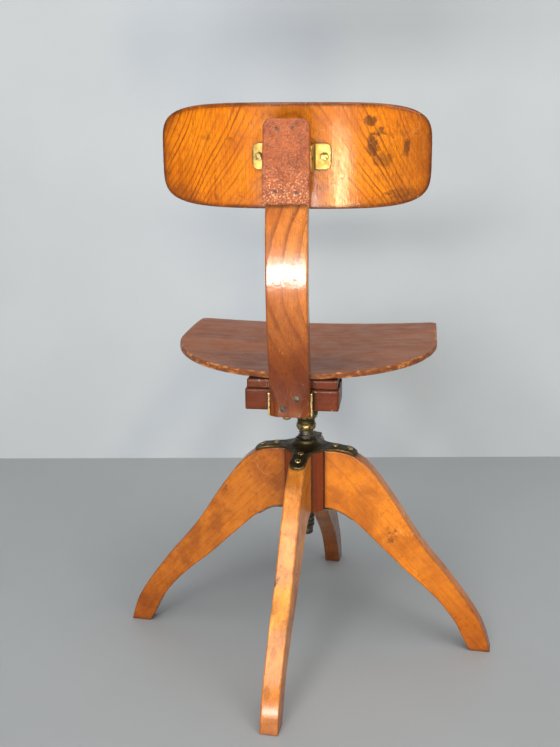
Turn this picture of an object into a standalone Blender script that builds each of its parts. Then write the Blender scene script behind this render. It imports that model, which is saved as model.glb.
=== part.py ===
"""A wooden drafting chair: four sabre legs on an eight-sided hub, a screw spindle, a dished
plywood seat and a tilting backrest on one bent wooden support.

Metres, +Z up. The origin is on the floor below the spindle. The sitter faces -Y, so the
back support stands at +Y and the sitter's right is -X.
"""

import math

import bmesh
import bpy
from mathutils import Matrix, Vector

MM = 0.001
GAP = 0.3 * MM                 # air between pieces that touch
TURN = 2 * math.pi

# Base
BASE_TURN = math.radians(-4.3)  # the base stands a little off square to the seat
LEG_COUNT = 4
LEG_THICKNESS = 27 * MM
LEG_EDGE = 2 * MM
HUB_WIDTH = 62 * MM
HUB_CHAMFER = 13.4 * MM
HUB_BOTTOM = 226.5 * MM
HUB_TOP = 326.5 * MM
LEG_REACH = 300 * MM            # outermost point of a foot, from the axis
FOOT_LENGTH = 32 * MM
TENON = Vector((10, 9, 64)) * MM
LEG_TOP_EDGE = [
    (32, 326), (58, 324.6), (80, 317.5), (105, 297), (140, 250), (185, 181),
    (235, 119.5), (272, 68), (290, 34), (300, 0),
]
LEG_LOWER_EDGE = [
    (268, 0), (258, 18), (243, 47.5), (220, 78), (193, 105), (160, 133.5),
    (130, 162.5), (104, 187.5), (82, 207.5), (60, 222), (44, 227.5), (32, 229),
]

# Spindle, its nut and the two iron spiders
SPINDLE_RADIUS = 13 * MM
THREAD_DEPTH = 2.4 * MM
THREAD_PITCH = 7 * MM
SPINDLE_FOOT = 179 * MM
THREAD_START = 187 * MM
THREAD_END = 353 * MM
JOURNAL_RADIUS = 9 * MM
JOURNAL_TOP = 430 * MM
NUT_RADIUS = 17 * MM
BOSS_TOP = 341.5 * MM
ARM_HALF_WIDTH = 12.5 * MM
ARM_REACH = 82 * MM
ARM_THICKNESS = 4 * MM
WEB_RADIUS = 42 * MM
STRAP_HALF_WIDTH = 10 * MM
STRAP_THICKNESS = 2.5 * MM
STRAP_REACH = 79 * MM
ARM_SCREW_RADII = (47 * MM, 70 * MM)
STRAP_SCREW_RADIUS = 52 * MM

# Screws and bolts, in millimetres: head radius, head height, shank radius, length
SCREWS = {
    "arm_screw": (4.6, 2.4, 2, 22),
    "strap_screw": (4, 2, 2, 20),
    "flange_screw": (4.2, 2.4, 2, 20),
    "set_screw": (4.5, 3, 2.5, 10.2),
    "spine_screw": (4.2, 1.2, 2, 50),
    "spine_end_screw": (6.6, 6, 2, 20),
    "cap_nail": (2.4, 1, 1.1, 24),
}
SCREW_HOLE = 2.3 * MM           # radius of the holes that take the 4 mm shanks
NAIL_HOLE = 1.4 * MM
SEAT_SCREW_HEAD = (4.2 * MM, 2.2 * MM)
SEAT_SCREW_SHANK = 2 * MM
BOLT_HEAD = (7 * MM, 2.6 * MM)
BOLT_SHANK = 2.5 * MM
BOLT_HOLE = 2.8 * MM
BOLT_END = 7 * MM               # how far a bolt stands past its ear
NUT_HEX_RADIUS = 5.4 * MM
NUT_HEIGHT = 4 * MM

# Seat
SEAT_HALF_WIDTH = 200.5 * MM
SEAT_FRONT = -195 * MM
SEAT_REAR = 185 * MM
SEAT_SHOULDER = -32 * MM        # where the straight sides turn into the round back
SEAT_BACK_POWER = 1.85
SEAT_CORNER = 14 * MM
SEAT_LEVEL = 485 * MM           # middle of the ply at the centre
SEAT_SIDE_RISE = 6 * MM
SEAT_REAR_RISE = 10.4 * MM
SEAT_FRONT_DROP = 9.5 * MM
PLY = 9 * MM
BLOCK_SIZE = Vector((131, 65, 30.5)) * MM
BLOCK_REAR = 186 * MM
BLOCK_BOTTOM = 446 * MM
BEAM_SIZE = Vector((64, 255, 20)) * MM
BEAM_TENON = Vector((40, 30, 12)) * MM
RISER_WIDTH = 126 * MM
FLANGE_RADIUS = 42 * MM
FLANGE_SCREW_CIRCLE = 31 * MM
SEAT_SCREW_X = 45 * MM
SEAT_SCREW_ROWS = {"rear_seat_screw": 156 * MM, "front_seat_screw": -98 * MM}
HOLDER_BOTTOM = THREAD_END + 3 * MM
HOLDER_LINE = [                 # (radius, height) of its outside, above its bottom, from the flange
    (25, 83.7), (22, 78.7), (19.5, 63.7), (18.5, 25), (17.5, 20), (14, 17.5),
    (13.8, 11), (15.2, 9.5), (15.9, 6.5), (15.2, 3), (13, 0),
]
SET_SCREW_HEIGHT = HOLDER_BOTTOM + 38 * MM

# Back support and backrest
SPINE_WIDTH = 56 * MM
SPINE_THICKNESS = 20 * MM
SPINE_FRONT_LINE = [            # (y, z) of its front face, bottom to top
    (189.8, 443.5), (189.8, 462), (193, 500), (206, 560), (214, 620), (212, 690),
    (202, 760), (190, 836),
]
SPINE_STOP_CHAMFER = 11 * MM
CAP_WIDTH = 61 * MM
CAP_THICKNESS = 13 * MM
CAP_BOTTOM = 734 * MM
CAP_TOP = 841 * MM
CAP_CORNER = 11 * MM
CAP_NAILS = [(12, 828), (-8, 829), (13, 750), (-14, 749)]    # (x, z)
SPINE_SCREWS = [(-10, 471), (9, 456)]                        # (x, z)
END_SCREW_X = 5 * MM
BRACKET_SHEET = 2.6 * MM
BRACKET_HEIGHT = 34 * MM
BRACKET_CENTRE = 460 * MM
BRACKET_CHEEK = 13 * MM         # how far a cheek runs along the support
PANEL_HALF_WIDTH = 183 * MM
PANEL_HALF_HEIGHT = 69.5 * MM
PANEL_CENTRE_Z = 791 * MM
PANEL_REAR_Y = 168 * MM         # rear face at its middle
PANEL_RADIUS = 400 * MM
PANEL_POWER = 4.8
PANEL_CROWN = 2.5 * MM
PIVOT = Vector((0, 204 * MM, 794.5 * MM))
PIVOT_RADIUS = 3 * MM
EAR_HEIGHT = 34 * MM
EAR_SHEET = 2.6 * MM
EAR_REACH = 18 * MM
EAR_BOLT_X = 43.5 * MM
BOLT_HEAD_GAP = 0.8 * MM        # the bolt heads lie against a hollow curve

# Materials: colour, roughness, metallic
FINISHES = {
    "honey_beech": ((0.60, 0.27, 0.07), 0.32, 0.0),
    "red_mahogany": ((0.22, 0.06, 0.03), 0.35, 0.0),
    "seat_ply": ((0.25, 0.11, 0.07), 0.45, 0.0),
    "bronzed_iron": ((0.16, 0.13, 0.07), 0.45, 0.9),
    "dark_iron": ((0.05, 0.05, 0.05), 0.5, 0.9),
    "brass": ((0.50, 0.38, 0.15), 0.38, 1.0),
    "leather": ((0.27, 0.10, 0.06), 0.6, 0.0),
}


def start_scene():
    for obj in list(bpy.data.objects):
        bpy.data.objects.remove(obj, do_unlink=True)
    for name in ("drafting_chair", "cutters"):
        collection = bpy.data.collections.new(name)
        bpy.context.scene.collection.children.link(collection)
    for name, (colour, roughness, metallic) in FINISHES.items():
        material = bpy.data.materials.new(name)
        material.use_nodes = True
        shader = material.node_tree.nodes["Principled BSDF"]
        shader.inputs["Base Color"].default_value = (*colour, 1)
        shader.inputs["Roughness"].default_value = roughness
        shader.inputs["Metallic"].default_value = metallic


def add_object(name, mesh, finish=None, parent=None, location=(0, 0, 0), rotation=(0, 0, 0)):
    """Link a mesh as a part, or as a cutter where it has no finish."""
    obj = bpy.data.objects.new(name, mesh)
    bpy.data.collections["drafting_chair" if finish else "cutters"].objects.link(obj)
    obj.parent = parent
    obj.location = location
    obj.rotation_euler = rotation
    if finish:
        if not mesh.materials:
            mesh.materials.append(bpy.data.materials[finish])
    else:
        obj.hide_render = True
        obj.display_type = "WIRE"
    return obj


def add_empty(name, parent=None, location=(0, 0, 0), rotation=(0, 0, 0)):
    empty = bpy.data.objects.new(name, None)
    bpy.data.collections["drafting_chair"].objects.link(empty)
    empty.parent = parent
    empty.location = location
    empty.rotation_euler = rotation
    return empty


def finish_mesh(name, bm):
    bmesh.ops.recalc_face_normals(bm, faces=bm.faces)
    mesh = bpy.data.meshes.new(name)
    bm.to_mesh(mesh)
    bm.free()
    mesh.shade_smooth()
    mesh.set_sharp_from_angle(angle=math.radians(35))
    return mesh


def baked_mesh(obj, name):
    """The evaluated mesh of a modelled object, which is then removed."""
    bpy.context.view_layer.update()
    evaluated = obj.evaluated_get(bpy.context.evaluated_depsgraph_get())
    mesh = bpy.data.meshes.new_from_object(evaluated)
    mesh.name = name
    bpy.data.objects.remove(obj, do_unlink=True)
    return mesh


def box_mesh(name, size):
    bm = bmesh.new()
    bmesh.ops.create_cube(bm, size=1.0)
    bmesh.ops.scale(bm, vec=size, verts=bm.verts)
    return finish_mesh(name, bm)


def prism_mesh(name, outline, height):
    """A flat outline in XY, raised by half the height on both sides."""
    curve = bpy.data.curves.new(name, "CURVE")
    curve.dimensions = "2D"
    curve.fill_mode = "BOTH"
    curve.extrude = height / 2
    spline = curve.splines.new("POLY")
    spline.points.add(len(outline) - 1)
    for point, (x, y) in zip(spline.points, outline):
        point.co = (x, y, 0, 1)
    spline.use_cyclic_u = True
    mesh = baked_mesh(add_object(name, curve), name)
    bm = bmesh.new()
    bm.from_mesh(mesh)
    bmesh.ops.remove_doubles(bm, verts=bm.verts, dist=0.00001)
    return finish_mesh(name, bm)


def turned_object(name, profile, finish, steps=24, **place):
    """Turn a profile of (radius, height) about Z. It runs down the outer side."""
    mesh = bpy.data.meshes.new(name)
    vertices = [(radius, 0, height) for radius, height in profile]
    mesh.from_pydata(vertices, [(i, i + 1) for i in range(len(vertices) - 1)], [])
    obj = add_object(name, mesh, finish, **place)
    screw = obj.modifiers.new("turn", "SCREW")
    screw.steps = steps
    screw.render_steps = steps
    screw.use_merge_vertices = True
    screw.merge_threshold = 0.00001
    screw.use_smooth_shade = True
    return obj


def turned_mesh(name, profile, steps=24):
    return baked_mesh(turned_object(name, profile, None, steps), name)


def loft_mesh(name, rings):
    """Skin rings of equal length and close both ends."""
    bm = bmesh.new()
    rows = [[bm.verts.new(point) for point in ring] for ring in rings]
    count = len(rows[0])
    for low, high in zip(rows, rows[1:]):
        for i in range(count):
            j = (i + 1) % count
            bm.faces.new((low[i], low[j], high[j], high[i]))
    bm.faces.new(rows[0])
    bm.faces.new(rows[-1])
    return finish_mesh(name, bm)


def polar_shell(name, outline, rings, surface, finish, thickness, **place):
    """A sheet on a curved surface, inside an outline about its centre, with thickness."""
    bm = bmesh.new()
    centre = bm.verts.new(surface(0, 0))
    previous = None
    for ring in range(1, rings + 1):
        share = ring / rings
        row = [bm.verts.new(surface(u * share, v * share)) for u, v in outline]
        for i in range(len(row)):
            j = (i + 1) % len(row)
            if previous:
                bm.faces.new((previous[i], row[i], row[j], previous[j]))
            else:
                bm.faces.new((centre, row[i], row[j]))
        previous = row
    obj = add_object(name, finish_mesh(name, bm), finish, **place)
    solidify = obj.modifiers.new("ply", "SOLIDIFY")
    solidify.thickness = thickness
    solidify.offset = 0
    add_bevel(obj, 2 * MM)
    return obj


def add_bevel(obj, width, segments=1):
    bevel = obj.modifiers.new("edges", "BEVEL")
    bevel.width = width
    bevel.segments = segments
    bevel.limit_method = "ANGLE"
    bevel.angle_limit = math.radians(40)
    return obj


def combine(obj, cutter, operation="DIFFERENCE"):
    boolean = obj.modifiers.new(operation.lower(), "BOOLEAN")
    boolean.operation = operation
    boolean.object = cutter
    boolean.solver = "EXACT"
    return obj


def drill_cutter(name, holes, parent=None, sides=12):
    """Cylinders for a set of holes, each (start, end, radius)."""
    bm = bmesh.new()
    for start, end, radius in holes:
        axis = Vector(end) - Vector(start)
        matrix = Matrix.Translation((Vector(start) + Vector(end)) / 2)
        matrix = matrix @ axis.to_track_quat("Z", "Y").to_matrix().to_4x4()
        bmesh.ops.create_cone(
            bm, cap_ends=True, segments=sides, radius1=radius, radius2=radius,
            depth=axis.length, matrix=matrix,
        )
    return add_object(name, finish_mesh(name, bm), parent=parent)


def smooth_line(points, steps):
    """A Catmull-Rom line through points given in millimetres."""
    line = [Vector(point) * MM for point in points]
    ends = [2 * line[0] - line[1], *line, 2 * line[-1] - line[-2]]
    result = []
    for i in range(1, len(ends) - 2):
        a, b, c, d = ends[i - 1:i + 3]
        for step in range(steps):
            t = step / steps
            result.append(
                0.5 * (2 * b + (c - a) * t + (2 * a - 5 * b + 4 * c - d) * t ** 2
                       + (3 * b - a - 3 * c + d) * t ** 3)
            )
    return result + [line[-1]]


def height_at(line, distance):
    """The second coordinate of a line where its first one is distance, held past its ends."""
    if distance <= min(line[0].x, line[-1].x):
        return (line[0] if line[0].x < line[-1].x else line[-1]).y
    for a, b in zip(line, line[1:]):
        if min(a.x, b.x) <= distance <= max(a.x, b.x):
            return a.y + (b.y - a.y) * (distance - a.x) / (b.x - a.x)
    return line[-1].y


def screw_profile(head_radius, head_height, shank_radius, length):
    """A round-headed screw or bolt along Z, its head seated at height 0."""
    dome = [
        (head_radius * math.sin(a), head_height * math.cos(a))
        for a in (0, math.pi / 6, math.pi / 3, math.pi / 2)
    ]
    return dome + [(shank_radius, 0), (shank_radius, -length + shank_radius), (0, -length)]


def listed_screw(label):
    return screw_profile(*(size * MM for size in SCREWS[label]))


def add_screws(label, places, finish, parent, profile=None):
    """One screw for each (position, rotation), all from one mesh."""
    mesh = turned_mesh(label, profile or listed_screw(label), 12)
    for number, (position, rotation) in enumerate(places, 1):
        add_object(f"{label}_{number}", mesh, finish, parent, position, rotation)


# ---------------------------------------------------------------- base

TOP_LINE = smooth_line(LEG_TOP_EDGE, 3)
LOWER_LINE = smooth_line(LEG_LOWER_EDGE, 3)
LEG_NAMES = ("rear", "right", "front", "left")


def arm_seat(distance):
    """Height of the surface that a top arm lies on."""
    return height_at(TOP_LINE, distance) + GAP + 0.2 * MM


def strap_seat(distance):
    """Height of the surface that a bottom strap lies against."""
    return min(height_at(LOWER_LINE, distance), HUB_BOTTOM) - GAP


def base_screw_places():
    """Screw seats on the rear leg: the two of its top arm, then the one of its strap."""
    tops = []
    for radius in ARM_SCREW_RADII:
        slope = (arm_seat(radius + 2 * MM) - arm_seat(radius - 2 * MM)) / (4 * MM)
        height = arm_seat(radius) + ARM_THICKNESS
        tops.append((Vector((0, radius, height)), math.atan(slope)))
    slope = (strap_seat(STRAP_SCREW_RADIUS + 2 * MM)
             - strap_seat(STRAP_SCREW_RADIUS - 2 * MM)) / (4 * MM)
    height = strap_seat(STRAP_SCREW_RADIUS) - STRAP_THICKNESS
    bottom = (Vector((0, STRAP_SCREW_RADIUS, height)), math.pi + math.atan(slope))
    return tops, bottom


def base_screw_holes(reach):
    """Holes that hold the rear leg's screws, from outside each head to reach past its seat."""
    tops, bottom = base_screw_places()
    holes = []
    for place, tilt in tops + [bottom]:
        axis = Matrix.Rotation(tilt, 3, "X") @ Vector((0, 0, 1))
        holes.append((place + axis * 3 * MM, place - axis * reach, 2 * MM + GAP))
    return holes


def make_leg_mesh():
    outline = [(p.x, p.y) for p in TOP_LINE + LOWER_LINE]
    mesh = prism_mesh("leg", outline, LEG_THICKNESS)
    mesh.transform(Matrix(((0, 0, 1, 0), (1, 0, 0, 0), (0, 1, 0, 0), (0, 0, 0, 1))))
    leg = add_bevel(add_object("leg", mesh), LEG_EDGE)
    inner = TOP_LINE[0].x
    centre = Vector((0, inner - TENON.y / 2 + MM, (HUB_BOTTOM + HUB_TOP) / 2))
    tenon = add_object("tenon", box_mesh("tenon", TENON + Vector((0, 2 * MM, 0))),
                       location=centre)
    combine(leg, tenon, "UNION")
    combine(leg, drill_cutter("leg_holes", base_screw_holes(22 * MM)))
    return baked_mesh(leg, "leg")


def make_legs(base):
    mesh = make_leg_mesh()
    for number, side in enumerate(LEG_NAMES):
        add_object(f"leg_{side}", mesh, "honey_beech", base,
                   rotation=(0, 0, number * TURN / LEG_COUNT))


def make_hub(base):
    half = HUB_WIDTH / 2
    flat = half - HUB_CHAMFER
    corners = [(half, -flat), (half, flat), (flat, half), (-flat, half),
               (-half, flat), (-half, -flat), (-flat, -half), (flat, -half)]
    middle = (HUB_BOTTOM + HUB_TOP) / 2
    hub = add_object("hub_block", prism_mesh("hub_block", corners, HUB_TOP - HUB_BOTTOM),
                     "red_mahogany", base, (0, 0, middle))
    add_bevel(hub, 1.2 * MM)
    mortise = TENON + Vector((2, 1, 2)) * GAP
    depth = TOP_LINE[0].x - TENON.y
    for number, side in enumerate(LEG_NAMES):
        mesh = box_mesh("mortise", mortise + Vector((0, 5 * MM, 0)))
        mesh.transform(Matrix.Translation((0, depth - GAP + (mortise.y + 5 * MM) / 2, 0)))
        cutter = add_object(f"mortise_{side}", mesh, parent=base, location=(0, 0, middle),
                            rotation=(0, 0, number * TURN / LEG_COUNT))
        combine(hub, cutter)
    bore = drill_cutter("hub_bore", [((0, 0, HUB_BOTTOM - MM), (0, 0, HUB_TOP + MM),
                                      NUT_RADIUS + GAP)], base, sides=24)
    combine(hub, bore)


def make_nut(base):
    inner = SPINDLE_RADIUS + GAP
    top = HUB_TOP - GAP
    bottom = HUB_BOTTOM + GAP
    turned_object("spindle_nut", [(inner, top), (NUT_RADIUS, top), (NUT_RADIUS, bottom),
                                  (inner, bottom), (inner, top)], "brass", parent=base)


def web_half_width(distance):
    """Half width of a top arm, which widens in a round web towards the hub."""
    start = ARM_HALF_WIDTH + WEB_RADIUS
    if distance >= start:
        return ARM_HALF_WIDTH
    web = start - math.sqrt(max(WEB_RADIUS ** 2 - (start - distance) ** 2, 0))
    return min(web, distance + MM)


def rounded_end(distance, reach, half_width):
    """Half width near a round arm end."""
    corner = 8 * MM
    past = distance - (reach - corner)
    if past <= 0:
        return half_width
    return half_width - corner + math.sqrt(max(corner ** 2 - past ** 2, 0))


def arm_rings(stations, half_width, low, high):
    rings = []
    for y in stations:
        x = half_width(y)
        rings.append([(-x, y, low(y)), (x, y, low(y)), (x, y, high(y)), (-x, y, high(y))])
    return rings


def make_spider(name, finish, rings, core, drills, bore_span, base):
    """Four arms from one set of rings, joined to a core and drilled."""
    mesh = loft_mesh(name, rings)
    spider = add_object(name, core)
    for number in range(LEG_COUNT):
        arm = add_object(f"{name}_arm_{number}", mesh, rotation=(0, 0, number * TURN / LEG_COUNT))
        combine(spider, arm, "UNION")
    holes = []
    for number in range(LEG_COUNT):
        turn = Matrix.Rotation(number * TURN / LEG_COUNT, 3, "Z")
        holes += [(turn @ start, turn @ end, radius) for start, end, radius in drills]
    combine(spider, drill_cutter(f"{name}_holes", holes))
    bore = ((0, 0, bore_span[0]), (0, 0, bore_span[1]), SPINDLE_RADIUS + 0.6 * MM)
    combine(spider, drill_cutter(f"{name}_bore", [bore], sides=24))
    add_object(name, baked_mesh(spider, name), finish, base)


def make_top_spider(base):
    stations = [y * MM for y in (12, 18, 25, 31, 38, 46, 54, 62, 70, 74, 77, 80, 81.5, 82)]

    def half_width(y):
        return rounded_end(y, ARM_REACH, web_half_width(y))

    def high(y):
        return arm_seat(y) + ARM_THICKNESS + max(0, 31 * MM - y) * 0.05

    rim = arm_seat(0) + 1 * MM
    core = turned_mesh("boss", [(0, BOSS_TOP), (16.5 * MM, BOSS_TOP),
                                  (18 * MM, BOSS_TOP - 2 * MM), (21 * MM, BOSS_TOP - 5.5 * MM),
                                  (30 * MM, rim + 3.4 * MM), (30 * MM, rim), (0, rim)])
    make_spider("top_spider", "bronzed_iron", arm_rings(stations, half_width, arm_seat, high),
                core, base_screw_holes(8 * MM)[:2], (HUB_TOP - MM, BOSS_TOP + MM), base)


def make_bottom_spider(base):
    stations = [y * MM for y in (15, 30, 38, 46, 54, 62, 70, 74, 77, 79)]

    def half_width(y):
        return rounded_end(y, STRAP_REACH, STRAP_HALF_WIDTH)

    def low(y):
        return strap_seat(y) - STRAP_THICKNESS

    top = HUB_BOTTOM - 0.8 * GAP
    bottom = top - STRAP_THICKNESS - 0.4 * GAP
    core = turned_mesh("strap_ring", [(0, top), (24 * MM, top), (24 * MM, bottom), (0, bottom)])
    make_spider("bottom_spider", "dark_iron",
                arm_rings(stations, half_width, low, strap_seat), core,
                base_screw_holes(8 * MM)[2:], (HUB_BOTTOM - 5 * MM, HUB_BOTTOM + MM), base)


def make_base_screws(base):
    tops, bottom = base_screw_places()
    top_places = []
    bottom_places = []
    for number in range(LEG_COUNT):
        angle = number * TURN / LEG_COUNT
        turn = Matrix.Rotation(angle, 3, "Z")
        for place, tilt in tops:
            top_places.append((turn @ (place + Vector((0, 0, 0.2 * MM))), (tilt, 0, angle)))
        place, tilt = bottom
        bottom_places.append((turn @ (place - Vector((0, 0, 0.8 * MM))), (tilt, 0, angle)))
    add_screws("arm_screw", top_places, "brass", base)
    add_screws("strap_screw", bottom_places, "dark_iron", base)


def make_base():
    base = add_empty("base_turn", rotation=(0, 0, BASE_TURN))
    make_legs(base)
    make_hub(base)
    make_nut(base)
    make_top_spider(base)
    make_bottom_spider(base)
    make_base_screws(base)


# ---------------------------------------------------------------- spindle

def thread_radius(height, angle):
    phase = TURN * height / THREAD_PITCH - angle
    fade = min(1, (height - THREAD_START) / THREAD_PITCH, (THREAD_END - height) / THREAD_PITCH)
    root = SPINDLE_RADIUS - THREAD_DEPTH
    return root + THREAD_DEPTH * max(fade, 0) * (0.5 + 0.5 * math.sin(phase))


def make_spindle():
    """A threaded rod with a plain foot and a plain journal at its top."""
    sides = 12
    root = SPINDLE_RADIUS - THREAD_DEPTH
    rows = int((THREAD_END - THREAD_START) / (THREAD_PITCH / 4))
    angles = [TURN * i / sides for i in range(sides)]

    def ring(height, radius):
        return [(radius * math.cos(a), radius * math.sin(a), height) for a in angles]

    rings = [ring(SPINDLE_FOOT, root - MM), ring(SPINDLE_FOOT + MM, root)]
    for row in range(rows + 1):
        z = THREAD_START + row * THREAD_PITCH / 4
        rings.append([(thread_radius(z, a) * math.cos(a), thread_radius(z, a) * math.sin(a), z)
                      for a in angles])
    shoulder = THREAD_END + 2 * MM
    rings += [ring(shoulder, root), ring(shoulder, JOURNAL_RADIUS),
              ring(JOURNAL_TOP - MM, JOURNAL_RADIUS), ring(JOURNAL_TOP, JOURNAL_RADIUS - MM)]
    add_object("spindle", loft_mesh("spindle", rings), "dark_iron",
               add_empty("spindle_lift"))


# ---------------------------------------------------------------- seat

def seat_height(x, y):
    """Middle of the seat ply."""
    rise = SEAT_SIDE_RISE * (x / SEAT_HALF_WIDTH) ** 2
    if y > 0:
        rise += SEAT_REAR_RISE * (y / SEAT_REAR) ** 2
    else:
        rise -= SEAT_FRONT_DROP * (y / SEAT_FRONT) ** 2
    return SEAT_LEVEL + rise


def seat_outline():
    """Straight front and sides, and a round back, anticlockwise from the right shoulder."""
    points = []
    depth = SEAT_REAR - SEAT_SHOULDER
    for i in range(29):
        a = math.pi * i / 28
        x = SEAT_HALF_WIDTH * math.copysign(abs(math.cos(a)) ** (2 / SEAT_BACK_POWER), math.cos(a))
        points.append((x, SEAT_SHOULDER + depth * math.sin(a) ** (2 / SEAT_BACK_POWER)))
    for i in range(1, 4):
        y = SEAT_SHOULDER + (SEAT_FRONT + SEAT_CORNER - SEAT_SHOULDER) * i / 4
        points.append((-SEAT_HALF_WIDTH, y))
    corner = (-SEAT_HALF_WIDTH + SEAT_CORNER, SEAT_FRONT + SEAT_CORNER)
    left = [(corner[0] + SEAT_CORNER * math.cos(a), corner[1] + SEAT_CORNER * math.sin(a))
            for a in (math.pi * (1 + i / 6) for i in range(4))]
    front = [(-SEAT_HALF_WIDTH + SEAT_CORNER + i * (SEAT_HALF_WIDTH - SEAT_CORNER) / 4,
              SEAT_FRONT) for i in range(1, 5)]
    half = points[29:] + left + front
    points += left + front
    points += [(-x, y) for x, y in reversed(half[:-1])]
    return points


def make_seat_panel(seat):
    panel = polar_shell("seat_panel", seat_outline(), 6,
                        lambda x, y: (x, y, seat_height(x, y)), "seat_ply", PLY, parent=seat)
    combine(panel, drill_cutter("seat_holes", seat_screw_holes(), seat))


def seat_screw_places(label):
    """Head positions and the length of one row of the screws that come up into the seat."""
    y = SEAT_SCREW_ROWS[label]
    seated = BLOCK_BOTTOM if y > 0 else BLOCK_BOTTOM + BEAM_SIZE.z + GAP
    height = seated - 0.2 * MM
    length = seat_height(SEAT_SCREW_X, y) - MM - height
    return [Vector((x, y, height)) for x in (-SEAT_SCREW_X, SEAT_SCREW_X)], length


def seat_screw_holes():
    holes = []
    for label in SEAT_SCREW_ROWS:
        places, length = seat_screw_places(label)
        holes += [(place - Vector((0, 0, MM)), place + Vector((0, 0, length + GAP)),
                   SCREW_HOLE) for place in places]
    return holes


def wedge_mesh(name, width, front, rear, bottom):
    """A packer under the seat, its top following the ply at its two ends."""
    rings = []
    for y in (front, rear):
        top = seat_height(0, y) - PLY / 2 - 0.8 * MM
        x = width / 2
        rings.append([(-x, y, bottom), (x, y, bottom), (x, y, top), (-x, y, top)])
    return loft_mesh(name, rings)


def make_seat_woodwork(seat):
    holes = drill_cutter("bearer_holes", seat_screw_holes(), seat)
    block_centre = Vector((0, BLOCK_REAR - BLOCK_SIZE.y / 2, BLOCK_BOTTOM + BLOCK_SIZE.z / 2))
    block = add_object("rear_block", box_mesh("rear_block", BLOCK_SIZE), "red_mahogany",
                       seat, block_centre)
    add_bevel(block, 2.5 * MM)
    beam_rear = BLOCK_REAR - BLOCK_SIZE.y - GAP
    beam_centre = Vector((0, beam_rear - BEAM_SIZE.y / 2, BLOCK_BOTTOM + BEAM_SIZE.z / 2))
    beam = add_object("seat_beam", box_mesh("seat_beam", BEAM_SIZE), "red_mahogany",
                      seat, beam_centre)
    add_bevel(beam, 2 * MM)
    tongue = BEAM_TENON + Vector((0, 10 * MM, 0))
    tongue_centre = Vector((0, beam_rear + BEAM_TENON.y - tongue.y / 2, beam_centre.z))
    combine(beam, add_object("beam_tongue", box_mesh("beam_tongue", tongue), parent=seat,
                             location=tongue_centre), "UNION")
    slot = tongue + Vector((2, 1, 2)) * GAP
    slot_centre = tongue_centre + Vector((0, GAP / 2, 0))
    combine(block, add_object("beam_slot", box_mesh("beam_slot", slot), parent=seat,
                              location=slot_centre))
    combine(block, holes)
    combine(block, drill_cutter("spine_screw_holes", spine_screw_holes(), seat))
    combine(beam, drill_cutter("flange_screw_holes", flange_screw_holes(), seat))
    spans = {
        "rear_riser": (BLOCK_REAR - 61 * MM, BLOCK_REAR - 2.5 * MM,
                       BLOCK_BOTTOM + BLOCK_SIZE.z + GAP),
        "front_riser": (-125 * MM, -70 * MM, BLOCK_BOTTOM + BEAM_SIZE.z + GAP),
    }
    for name, (front, rear, bottom) in spans.items():
        riser = add_object(name, wedge_mesh(name, RISER_WIDTH, front, rear, bottom),
                           "red_mahogany", seat)
        add_bevel(riser, 1.2 * MM)
        combine(riser, holes)


def make_seat_screws(seat):
    for label in SEAT_SCREW_ROWS:
        places, length = seat_screw_places(label)
        profile = screw_profile(*SEAT_SCREW_HEAD, SEAT_SCREW_SHANK, length)
        add_screws(label, [(place, (math.pi, 0, 0)) for place in places], "dark_iron", seat,
                   profile)


def flange_screw_holes():
    """Holes in the beam above the holder's flange."""
    return [(Vector((x, y, BLOCK_BOTTOM - 10 * MM)), Vector((x, y, BLOCK_BOTTOM + 15 * MM)),
             SCREW_HOLE) for x, y in flange_screw_spots()]


def flange_screw_spots():
    return [(FLANGE_SCREW_CIRCLE * math.cos(a), FLANGE_SCREW_CIRCLE * math.sin(a))
            for a in (TURN * (i + 0.5) / 4 for i in range(4))]


def make_holder(seat):
    """The socket on the spindle's journal, with the flange that carries the beam."""
    top = BLOCK_BOTTOM - GAP
    bore = JOURNAL_RADIUS + GAP
    outside = [(radius * MM, HOLDER_BOTTOM + height * MM) for radius, height in HOLDER_LINE]
    profile = [(0, top), (FLANGE_RADIUS, top), (FLANGE_RADIUS, outside[0][1]), *outside,
               (bore, HOLDER_BOTTOM), (bore, JOURNAL_TOP + MM), (0, JOURNAL_TOP + MM)]
    holder = turned_object("spindle_holder", profile, "bronzed_iron", 18, parent=seat)
    combine(holder, drill_cutter("flange_holes", flange_screw_holes(), seat))
    set_hole = [((0, -30 * MM, SET_SCREW_HEIGHT), (0, 0, SET_SCREW_HEIGHT), BOLT_HOLE)]
    combine(holder, drill_cutter("set_screw_hole", set_hole, seat))
    turned_object("set_screw", listed_screw("set_screw"), "dark_iron", 12, parent=seat,
                  location=(0, -19.8 * MM, SET_SCREW_HEIGHT), rotation=(math.pi / 2, 0, 0))
    head_height = outside[0][1] - 0.2 * MM
    add_screws("flange_screw", [((x, y, head_height), (math.pi, 0, 0))
                                for x, y in flange_screw_spots()], "dark_iron", seat)


# ---------------------------------------------------------------- back support

SPINE_LINE = smooth_line(SPINE_FRONT_LINE, 4)


def spine_point(height, outward):
    """(y, z) at a height on the support's front face, moved outward along its normal."""
    for a, b in zip(SPINE_LINE, SPINE_LINE[1:]):
        if height <= b.y or b is SPINE_LINE[-1]:
            break
    along = (b - a).normalized()
    base = a + (b - a) * (height - a.y) / (b.y - a.y)
    return base + Vector((along.y, -along.x)) * outward


def support_rings(heights, width, inner, outer):
    rings = []
    for height in heights:
        front = spine_point(height, inner)
        rear = spine_point(height, outer)
        x = width(height) / 2
        rings.append([(-x, front.x, front.y), (x, front.x, front.y),
                      (x, rear.x, rear.y), (-x, rear.x, rear.y)])
    return rings


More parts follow.
